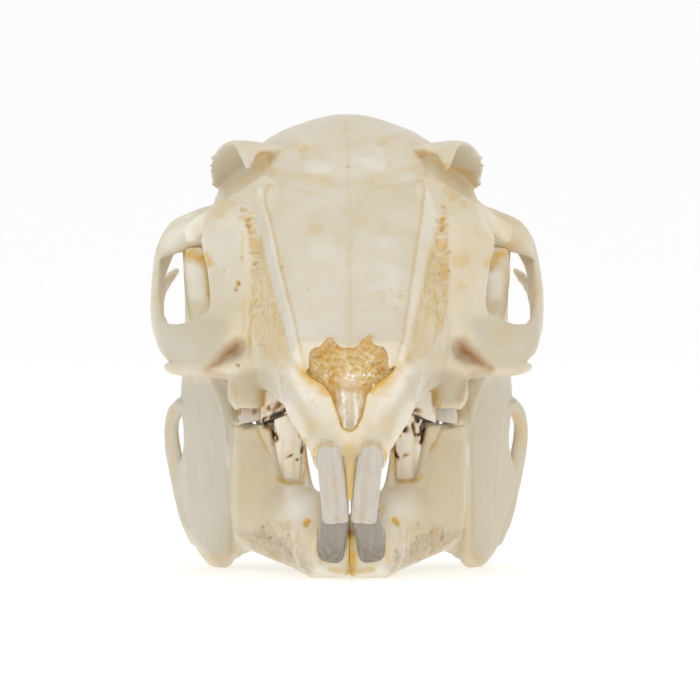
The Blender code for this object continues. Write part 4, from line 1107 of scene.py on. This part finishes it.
GUM_LINES = [
    (0.55, 3.0, [(276, 476), (284, 482), (300, 483)]), (0.6, 2.4, [(304, 444), (305, 480)]),
    (0.2, 3.0, [(283, 440), (283, 476)]), (0.2, 2.0, [(292, 440), (293, 470)]),
    (0.55, 3.0, [(422, 474), (414, 481), (398, 482)]), (0.6, 2.6, [(394, 444), (394, 478)]),
    (0.3, 3.0, [(414, 440), (414, 474)]), (0.5, 3.0, [(264, 394), (264, 414)]),
    (0.5, 3, [(433, 394), (434, 412)]),
    (0.3, 5.0, [(290, 414), (298, 420), (303, 430)]),
    (0.3, 5, [(408, 412), (400, 420), (396, 430)]),
    (0.3, 1.6, [(333, 470), (336, 500), (337, 522)]), (0.8, 1.6, [(337, 517), (337, 524)]),
    (0.3, 1.6, [(367, 455), (363, 490), (361, 522)]), (0.8, 1.6, [(361, 517), (361, 524)]),
    (0.7, 2.4, [(318, 448), (325, 443), (333, 446)]),
    (0.7, 2.4, [(366, 446), (374, 443), (382, 448)]),
]
# Enamel: smooth, cream-grey, with streaks of 0.1 mm that run lengthwise and warmer toward the bone,
# whiter where lightened: on the lower cheek teeth that is painted light for the shade they stand
# in.
enamel, tree, shader = surface("enamel")
place = add(tree, "ShaderNodeTexCoord").outputs["Object"]
long = add(tree, "ShaderNodeMapping", Vector=place, Scale=(2000.0, 2000.0, 60.0)).outputs[0]
streaks = add(tree, "ShaderNodeTexNoise", Vector=long, Scale=1.0, Detail=3.0).outputs["Fac"]
colour = add(tree, "ShaderNodeMix", {"data_type": "RGBA"}, _0=add(
    tree, "ShaderNodeMapRange", Value=streaks, From_Min=0.3, From_Max=0.7).outputs[0],
    _6=linear("#C5BDAF"), _7=linear("#D0CABE")).outputs[2]
colour = washed(tree, colour, (("#FFF7E6", "lightened"), ("#D3A64A", "amber")))
tree.links.new(stained(tree, colour), shader.inputs["Base Color"])
tuned(shader, Roughness=0.28, Subsurface_Weight=0.2, Subsurface_Radius=(0.6, 0.5, 0.4),
      Subsurface_Scale=0.001)
bump = add(tree, "ShaderNodeBump", Height=streaks, Strength=0.04, Distance=0.0001)
tree.links.new(bump.outputs[0], shader.inputs["Normal"])
# The lower incisors' enamel: grey, a little see-through, and darker toward the root as painted
# shade.
grey_enamel, tree, shader = surface("grey_enamel")
place = add(tree, "ShaderNodeTexCoord").outputs["Object"]
height = add(tree, "ShaderNodeSeparateXYZ", Vector=place).outputs["Z"]
long = add(tree, "ShaderNodeMapping", Vector=place, Scale=(2600.0, 2600.0, 90.0)).outputs[0]
streaks = add(tree, "ShaderNodeTexNoise", Vector=long, Scale=1.0, Detail=3.0).outputs["Fac"]
colour = add(tree, "ShaderNodeMix", {"data_type": "RGBA"}, _0=add(
    tree, "ShaderNodeMapRange", Value=height, From_Min=0.0012, From_Max=0.0052).outputs[0],
    _6=linear("#7C7465"), _7=linear("#ADA699")).outputs[2]
colour = add(tree, "ShaderNodeMix", {"data_type": "RGBA"}, _0=add(
    tree, "ShaderNodeMapRange", Value=streaks, From_Min=0.35, From_Max=0.7, To_Max=0.3).outputs[0],
    _6=colour, _7=linear("#C6C0B4")).outputs[2]
tree.links.new(colour, shader.inputs["Base Color"])
tuned(shader, Roughness=0.22, Subsurface_Weight=0.15, Subsurface_Scale=0.001)
bump = add(tree, "ShaderNodeBump", Height=streaks, Strength=0.03, Distance=0.0001)
tree.links.new(bump.outputs[0], shader.inputs["Normal"])


def tinted(tooth, lightened):
    """Notes how lightened, amber and stained the tooth's points are for its enamel; the lightening
    is partly painted light.
    """
    points = places(tooth.data)
    spot = np.stack(seen(points), -1) + 2.0 * cloud(points, 0.4, 9.0)[:, None] - 1.0
    front = ease(facing(tooth.data), 0.0, 0.2)
    note(tooth.data, "lightened", np.full(len(points), float(lightened)))
    note(tooth.data, "amber", strokes(spot, GUM_LINES) * front)
    specks = 0.25 + 1.1 * ease(cloud(points, 0.28, 13.0), 0.35, 0.62)
    note(tooth.data, "stain", strokes(spot, BITE_STAINS) * front * specks)


sockets = []
for word, side in (("left", 1), ("right", -1)):
    for name, table, groove in (("upper_incisor", UPPER_INCISOR, -0.2),
                                ("peg_incisor", PEG_INCISOR, None),
                                ("lower_incisor", LOWER_INCISOR[side], None)):
        tooth = new_object(f"{word}_{name}_tooth", *rod(table, side, groove))
        tinted(tooth, 0)
        if name == "lower_incisor":
            dressed(tooth, f"{word}_{name}", grey_enamel)
        else:
            dressed(tooth, f"{word}_{name}", enamel)
            sockets.append(rod(table, side, grow=INCISOR_PLAY))
    for name, *place in UPPER_CHEEK:
        tooth = new_object(f"{word}_upper_{name}_tooth", *column(place, side, UPPER_ROOT, BITE))
        tinted(tooth, 0.8 if name == "premolar_2" else 0.25)
        dressed(tooth, f"{word}_upper_{name}", enamel)
        sockets.append(column(place, side, UPPER_ROOT + SOCKET_END, BITE - 1, CHEEK_PLAY, rows=8))
    for name, *place in LOWER_CHEEK:
        tooth = new_object(f"{word}_lower_{name}_tooth",
                           *column(place, side, LOWER_ROOT, BITE - GAP))
        # Painted light: the lower cheek teeth are lightened fully for the shade they stand in.
        tinted(tooth, 1)
        dressed(tooth, f"{word}_lower_{name}", enamel)
cut(cranium, sockets[::2])
cut(cranium, sockets[1::2])

# The jaw bones. The two halves of the lower jaw never grow together and meet in a rough seam at the
# chin. Each is a body with the teeth, a thin plate behind it and a hook at the plate's back edge.
JAW_BODY = [
    ((1.3, -25.5, 3.5), (1.3, -24.4, 1.2), 3.6),
    ((1.5, -24.9, 4.2), (1.5, -22.8, 0.3), 4.3),
    ((1.7, -22.8, 5.4), (1.7, -21.2, -0.2), 5.0),
    ((2.2, -19.0, 6.5), (2.4, -18.6, -0.1), 4.8),
    ((3.4, -14.4, 7.0), (3.8, -14.2, 0.4), 4.7),
    ((5.1, -10.2, 8.0), (5.6, -9.8, 1.0), 4.8),
    ((7.0, -6.0, 10.2), (7.0, -6.0, 1.5), 5.0),
    ((8.0, -2.0, 11.9), (7.8, -2.0, 1.6), 3.4),
    ((8.6, 2.0, 12.6), (8.6, 2.0, 1.2), 2.1),
    ((9.5, 5.4, 12.0), (9.5, 5.0, 0.8), 1.5),
    ((10.8, 8.4, 11.0), (11.0, 8.0, 2.6), 1.2),
]
OUTER_WALL = [
    ((5.3, -12.6, 6.8), (5.2, -12.2, 3.0), 1.0),
    ((5.9, -11.6, 9.2), (6.0, -11.0, 4.0), 1.0),
    ((6.35, -10.4, 11.7), (6.6, -9.9, 5.0), 0.9),
    ((7.1, -9.0, 12.0), (7.0, -8.6, 6.0), 1.3),
    ((7.7, -6.8, 12.0), (7.6, -6.8, 6.0), 1.5),
    ((8.2, -4.4, 12.0), (8.2, -4.4, 6.0), 1.5),
    ((8.8, -1.8, 12.3), (8.8, -1.8, 7.0), 1.6),
    ((9.3, 1.0, 12.9), (9.3, 1.0, 8.0), 1.6),
]
JAW_CHEEK = [
    ((4.6, -12.6, 3.4), (9.0, -6.2, 2.6), 1.6),
    ((5.5, -12.5, 5.2), (9.2, -6.0, 5.0), 1.9),
    ((6.0, -11.8, 7.6), (9.3, -5.6, 7.6), 1.8),
    ((6.3, -10.9, 9.6), (9.4, -5.0, 9.8), 1.6),
    ((6.8, -9.8, 11.5), (9.4, -4.0, 11.9), 1.1),
]
INNER_WALL = [
    ((2.75, -16.0, 6.4), (2.75, -15.6, 3.0), 1.1),
    ((3.2, -13.2, 7.8), (3.3, -12.9, 4.0), 0.8),
    ((3.42, -11.9, 9.4), (3.5, -11.6, 5.0), 0.55),
    ((3.55, -11.0, 10.8), (3.7, -10.6, 5.0), 0.5),
    ((3.9, -9.4, 11.2), (4.0, -9.2, 5.0), 0.6),
    ((4.3, -7.4, 10.8), (4.4, -7.4, 6.0), 0.8),
    ((4.7, -4.0, 10.8), (4.8, -4.0, 6.0), 0.9),
    ((5.3, 0.0, 11.2), (5.4, 0.0, 6.0), 0.9),
]
JAW_PLATE = [
    ((10.2, 6.4, -0.1), (10.8, 9.4, -0.1), 0.7),
    ((9.9, 4.8, 0.4), (11.3, 11.4, 0.5), 1.7),
    ((9.6, 3.4, 1.2), (12.0, 13.4, 1.5), 2.1),
    ((9.6, 2.2, 2.6), (12.9, 15.0, 3.0), 1.6),
    ((9.5, 0.4, 6.0), (14.2, 16.4, 6.6), 1.1),
    ((9.5, 0.2, 10.0), (13.5, 12.8, 10.2), 1.0),
    ((10.0, 1.6, 14.0), (13.7, 12.6, 14.0), 1.1),
    ((11.1, 3.8, 18.0), (13.4, 11.8, 18.2), 1.1),
    ((11.8, 5.4, 22.0), (13.2, 11.6, 22.0), 1.2),
    ((12.3, 6.6, 25.0), (13.1, 11.4, 25.0), 1.5),
    ((12.6, 7.4, 26.5), (13.1, 11.0, 26.5), 1.5),
]
JAW_RIDGE = [
    ((7.8, -0.6, 10.4), (10.0, -1.0, 10.0), 1.8),
    ((8.4, 1.2, 13.0), (10.4, 0.8, 13.0), 1.6),
    ((9.1, 3.0, 16.6), (12.0, 2.8, 17.0), 1.3),
    ((11.0, 4.9, 21.0), (13.1, 4.7, 21.0), 1.2),
    ((11.5, 6.4, 24.6), (13.5, 6.2, 24.6), 1.2),
    ((11.8, 7.4, 26.2), (13.4, 7.4, 26.2), 1.2),
]
JAW_HOOK = [
    ((12.0, 11.6, 1.6), (12.8, 14.4, 1.8), 1.0),
    ((12.7, 12.6, 3.8), (13.8, 16.2, 4.0), 1.0),
    ((13.3, 13.6, 6.8), (14.6, 17.9, 7.0), 0.9),
    ((13.95, 14.7, 9.2), (15.1, 18.3, 9.6), 0.8),
    ((14.25, 14.6, 11.4), (15.1, 16.9, 11.8), 0.8),
    ((13.8, 12.6, 12.7), (14.7, 14.6, 13.2), 0.9),
    ((13.3, 10.8, 13.4), (13.9, 12.4, 14.0), 0.9),
]
CONDYLE = ((12.5, 9.6, 25.7), (1.15, 2.5, 0.9))
JAW_MOST = 60000                                # points left of each jaw
CHIN_GAP = 0.015                                # from the middle to each jaw half
FAR = 50                                        # past the jaw's reach on every side
# The picture of the jaws: relief in millimetres, then what is painted, both in pixels.
JAW_RELIEF = [
    (-0.12, 2.6, [(237, 404), (233, 430), (231, 470), (231, 510), (232, 552)]),
    (-0.10, 2.4, [(467, 404), (470, 430), (472, 470), (472, 510), (470, 552)]),
    (0.14, 4.0, [(224, 380), (231, 392), (238, 410), (242, 424)]),
    (0.14, 4.0, [(474, 380), (467, 392), (461, 410), (457, 424)]),
    (-0.10, 2.0, [(258, 428), (262, 440), (268, 450), (273, 462)]),
    (-0.10, 2.0, [(441, 428), (436, 440), (430, 450), (425, 462)]),
    (0.04, 3.0, [(196, 400), (200, 440), (204, 500)]),
    (0.04, 3.0, [(504, 400), (500, 440), (496, 500)]),
    (0.22, 5.0, [(303, 556), (320, 570), (350, 575)]),
    (0.22, 5.0, [(396, 556), (378, 570), (350, 575)]),
]
FORAMEN = [
    (1.0, 2.0, [(303.5, 522), (306, 518.5), (310, 518), (311.5, 520.5), (309, 526), (305.5, 527.5),
         (303.6, 526)]),
    (1.0, 2.0, [(391, 518), (393.5, 516), (397, 518), (399, 522), (398.5, 526), (395, 525),
         (392, 522)]),
]
ROUGH = [
    (1.0, 14, [(258, 524), (284, 520), (304, 532), (316, 556), (300, 574), (280, 568), (262, 558),
         (250, 546)]),
    (1.0, 14, [(444, 524), (418, 520), (398, 532), (386, 556), (400, 574), (422, 566), (440, 556),
         (452, 546)]),
]
# Amber strokes; at the ramus's top under the arches' roots and beside the incisors, painted shade.
JAW_AMBER = [
    (0.75, 7.0, [(183, 256), (194, 253), (204, 260), (210, 276), (211, 296)]),
    (0.65, 8.0, [(517, 244), (502, 253), (489, 266)]), (0.3, 6.0, [(509, 250), (507, 298)]),
    (0.15, 5.0, [(183, 256), (183, 300)]), (0.45, 3.5, [(234, 396), (238, 416), (241, 428)]),
    (0.35, 3.5, [(468, 396), (462, 416), (458, 428)]),
    (0.4, 3.0, [(174, 410), (168, 426), (168, 446)]),
    (0.4, 4.0, [(516, 415), (523, 426), (522, 446)]), (0.3, 3.0, [(172, 452), (175, 480)]),
    (0.5, 2.4, [(258, 431), (262, 441), (267, 449), (271, 456)]),
    (0.5, 2.4, [(441, 431), (436, 441), (430, 449)]),
    (0.7, 2.6, [(276, 478), (288, 483), (303, 483), (306, 470), (306, 438)]),
    (0.7, 2.6, [(424, 476), (412, 482), (397, 482), (394, 468), (394, 438)]),
    (0.3, 4.0, [(318, 506), (320, 516), (320, 526)]),
    (0.3, 4.0, [(384, 506), (380, 516), (380, 526)]),
    (0.5, 4.0, [(320, 530), (318, 548), (321, 562)]),
    (0.5, 4.0, [(381, 530), (386, 548), (388, 562)]),
    (0.8, 6.0, [(350, 534), (352, 552), (353, 572)]),
    (0.4, 3.0, [(330, 570), (350, 573), (372, 569)]),
    (0.25, 5.0, [(196, 552), (214, 560), (226, 556)]),
    (0.25, 5.0, [(506, 552), (488, 560), (476, 556)]),
    (0.35, 2.0, [(271, 552), (276, 560)]), (0.35, 2.0, [(286, 535), (292, 545)]),
]
JAW_TAN = [
    (0.42, 14, [(237, 400), (262, 430), (278, 476), (286, 500), (276, 522), (262, 548), (240, 548),
         (233, 500)]),
    (0.46, 14, [(463, 400), (438, 430), (424, 476), (414, 500), (426, 522), (440, 548), (464, 548),
         (470, 500)]),
    (0.30, 16, [(440, 440), (470, 430), (470, 530), (440, 530)]),
    (0.34, 34, [(398, 400), (560, 400), (560, 590), (398, 590)]),
    (0.25, 12, [(262, 516), (300, 524), (316, 572), (270, 566)]),
    (0.35, 12, [(440, 516), (404, 524), (390, 572), (436, 566)]),
]
# Painted light: white washes on the jaw's front in the snout's shadow and on the ramus's lit faces,
# and a painted reflection of the lit floor along the chin's lower edge.
JAW_PAINTED_LIGHT = [
    (0.8, 14, [(284, 484), (316, 486), (319, 516), (290, 516)]),
    (0.6, 14, [(416, 484), (386, 486), (383, 516), (410, 516)]),
    (0.6, 8, [(220, 378), (234, 380), (238, 402), (226, 402)]),
    (0.7, 6, [(181, 460), (187, 462), (187, 500), (182, 492)]),
    (1.0, 9, [(188, 264), (206, 266), (210, 300), (190, 300)]),
    (0.9, 9, [(488, 272), (504, 272), (502, 300), (490, 300)]),
    (0.8, 8, [(296, 552), (306, 554), (330, 572), (372, 572), (392, 554), (404, 552), (384, 580),
         (314, 580)]),
]
# Painted shade: grey-brown washes on the jaw plates, the lower body and under the cheek roots.
JAW_PAINTED_SHADE = [
    (0.26, 8, [(160, 430), (176, 376), (222, 376), (234, 404), (232, 556), (222, 568), (196, 540),
         (180, 520)]),
    (0.26, 8, [(540, 430), (522, 376), (480, 376), (468, 404), (471, 556), (480, 568), (506, 540),
         (520, 520)]),
    (0.20, 12, [(236, 440), (276, 440), (284, 500), (270, 530), (236, 552)]),
    (0.20, 12, [(464, 440), (424, 440), (416, 500), (430, 530), (464, 552)]),
    (0.42, 10, [(236, 528), (270, 530), (318, 566), (300, 584), (240, 560)]),
    (0.42, 10, [(464, 528), (430, 530), (382, 566), (400, 584), (460, 560)]),
    (0.35, 6, [(222, 372), (240, 392), (244, 420), (234, 420), (220, 390)]),
    (0.35, 6, [(478, 372), (460, 392), (456, 420), (466, 420), (480, 390)]),
]
JAW_THIN = [
    (0.55, 6, [(160, 430), (176, 384), (222, 384), (234, 404), (232, 556), (222, 568), (196, 540),
         (180, 520)]),
    (0.45, 6, [(540, 430), (522, 384), (480, 384), (468, 404), (471, 556), (480, 568), (506, 540),
         (520, 520)]),
]
for word, side in (("left", 1), ("right", -1)):
    parts = [strap(form, side) for form in (JAW_PLATE, JAW_RIDGE, JAW_HOOK, OUTER_WALL, JAW_CHEEK,
                                             INNER_WALL)]
    parts += [strap(JAW_BODY, side, square=0.9), lump(*CONDYLE, side)]
    jaw = skinned(f"{word}_jaw", parts)
    points, normals = places(jaw.data), facings(jaw.data)
    spot = np.stack(seen(points), -1)
    front = ease(facing(jaw.data), 0.05, 0.3)
    rough = washes(spot, ROUGH) * front
    rise = 0.05 * (cloud(points, 1.2, 2.0) - 0.5)
    for height, half, path in JAW_RELIEF:
        rise += height * strokes(spot, [(1.0, half, path)]) * front
    near, next_near = cells(points + 0.4 * cloud(points, 0.5, 4.0)[:, None], (0.9, 1.4, 0.5), 5.0)
    rise += rough * (0.14 * ease(next_near - near, 0.0, 0.4) + 0.4 * cloud(points, 0.7, 3.0) - 0.28
                     - 0.2 * ease(cloud(points, 0.42, 6.0), 0.62, 0.85))
    rise -= 0.25 * washes(spot, FORAMEN) * front
    put_places(jaw.data, points + normals * rise[:, None])
    thinned(jaw, facing(jaw.data) < 0.02, JAW_MOST)
    inner, beyond = side * CHIN_GAP, -side * FAR
    cut(jaw, [prism([(-FAR, -FAR), (FAR, -FAR), (FAR, 0), (-FAR, 0)], -FAR, FAR),
              prism([(beyond, -FAR), (inner, -FAR), (inner, FAR), (beyond, FAR)], -FAR, FAR)])
    sockets = [column(place, side, LOWER_ROOT - SOCKET_END, BITE + 1, CHEEK_PLAY, rows=8)
               for _, *place in LOWER_CHEEK]
    cut(jaw, sockets[::2])
    cut(jaw, sockets[1::2] + [rod(LOWER_INCISOR[side], side, grow=INCISOR_PLAY)])
    points = places(jaw.data)
    spot = np.stack(seen(points), -1)
    hand = spot + 2.4 * np.stack([cloud(points, 0.5, 7.0), cloud(points, 0.5, 8.0)], -1) - 1.2
    front = ease(facing(jaw.data), 0.0, 0.25)
    mottle = 0.5 + cloud(points, 0.4, 11.0)
    rough = washes(spot, ROUGH) * front
    note(jaw.data, "amber", np.clip(np.maximum.reduce([
        strokes(hand, JAW_AMBER) * mottle, washes(spot, FORAMEN),
        0.4 * rough * ease(cloud(points, 0.6, 15.0), 0.6, 0.9)]) * front
        + 0.2 * (np.abs(points[:, 0]) < 0.25) * (points[:, 1] < -21), 0, 1))
    note(jaw.data, "tan", washes(hand, JAW_TAN) * front * (0.7 + 0.5 * mottle))
    # Painted light in the white washes, over a random paler tone.
    note(jaw.data, "pale", np.clip(washes(hand, JAW_PAINTED_LIGHT) * front
                                   + 0.28 * ease(cloud(points, 2.0, 21.0), 0.6, 0.9), 0, 1))
    note(jaw.data, "thin", washes(spot, JAW_THIN) * (points[:, 1] > -6))
    # Painted shade, grey-brown.
    note(jaw.data, "shade", washes(hand, JAW_PAINTED_SHADE) * front)
    note(jaw.data, "brown", rough * (0.04 + 0.25 * ease(cloud(points, 0.42, 6.0), 0.6, 0.85)))
    note(jaw.data, "stain", 0.8 * strokes(hand, BITE_STAINS) * front * np.clip(mottle, 0, 1))
    dressed(jaw, f"{word}_jaw_bone", bone)

# The floor is a sheet of white acrylic lit from below, as small things are pictured on, and curves
# up far behind the skull. The world is the white tent round it.
HALF_WIDTH, LENGTH, NEAR_EDGE = 3000, 6000, -1500
BEND_START, BEND_END, BACK_HEIGHT = 1200, 4500, 2500
FLOOR_GLOW, TENT_GLOW, WHITE = 0.36, 0.62, (1, 1, 1, 1)
across, along = np.meshgrid(np.linspace(-HALF_WIDTH, HALF_WIDTH, 3), np.linspace(0, 1, 60))
run = along * LENGTH + NEAR_EDGE
height = BACK_HEIGHT * ease(run, BEND_START, BEND_END)
points = np.column_stack([across.ravel(), run.ravel(), height.ravel()])
here = np.arange(points.shape[0]).reshape(across.shape)
sheet = np.stack([here[:-1, :-1], here[:-1, 1:], here[1:, 1:], here[1:, :-1]], -1).reshape(-1, 4)
floor = new_object("floor", points, sheet.tolist())
paper, tree, shader = surface("lit_acrylic")
tuned(shader, Base_Color=(0.9, 0.9, 0.9, 1), Emission_Color=WHITE, Emission_Strength=FLOOR_GLOW)
floor.data.materials.append(paper)
floor.data.shade_smooth()
world = bpy.data.worlds.new("tent")
bpy.context.scene.world = world
world.use_nodes = True
tuned(world.node_tree.nodes["Background"], Color=WHITE, Strength=TENT_GLOW)
for name, place, size, power in (("left_panel", (0.45, -0.6, 0.35), 0.5, 0.05),
                                 ("right_panel", (-0.45, -0.6, 0.35), 0.5, 0.05),
                                 ("low_panel", (0, -0.75, 0.06), 0.3, 0.40),
                                 ("spark", (-0.08, -0.8, 0.24), 0.035, 0.30),
                                 ("top_panel", (0, -0.3, 0.85), 0.8, 1.9)):
    lamp = bpy.data.lights.new(name, "AREA")
    lamp.energy = power
    lamp.size = size
    panel = bpy.data.objects.new(name, lamp)
    panel.location = place
    toward = Vector((0, 0, 0.02)) - panel.location
    panel.rotation_euler = toward.to_track_quat("-Z", "Y").to_euler()
    bpy.context.scene.collection.objects.link(panel)
bpy.context.scene.view_settings.view_transform = "Standard"
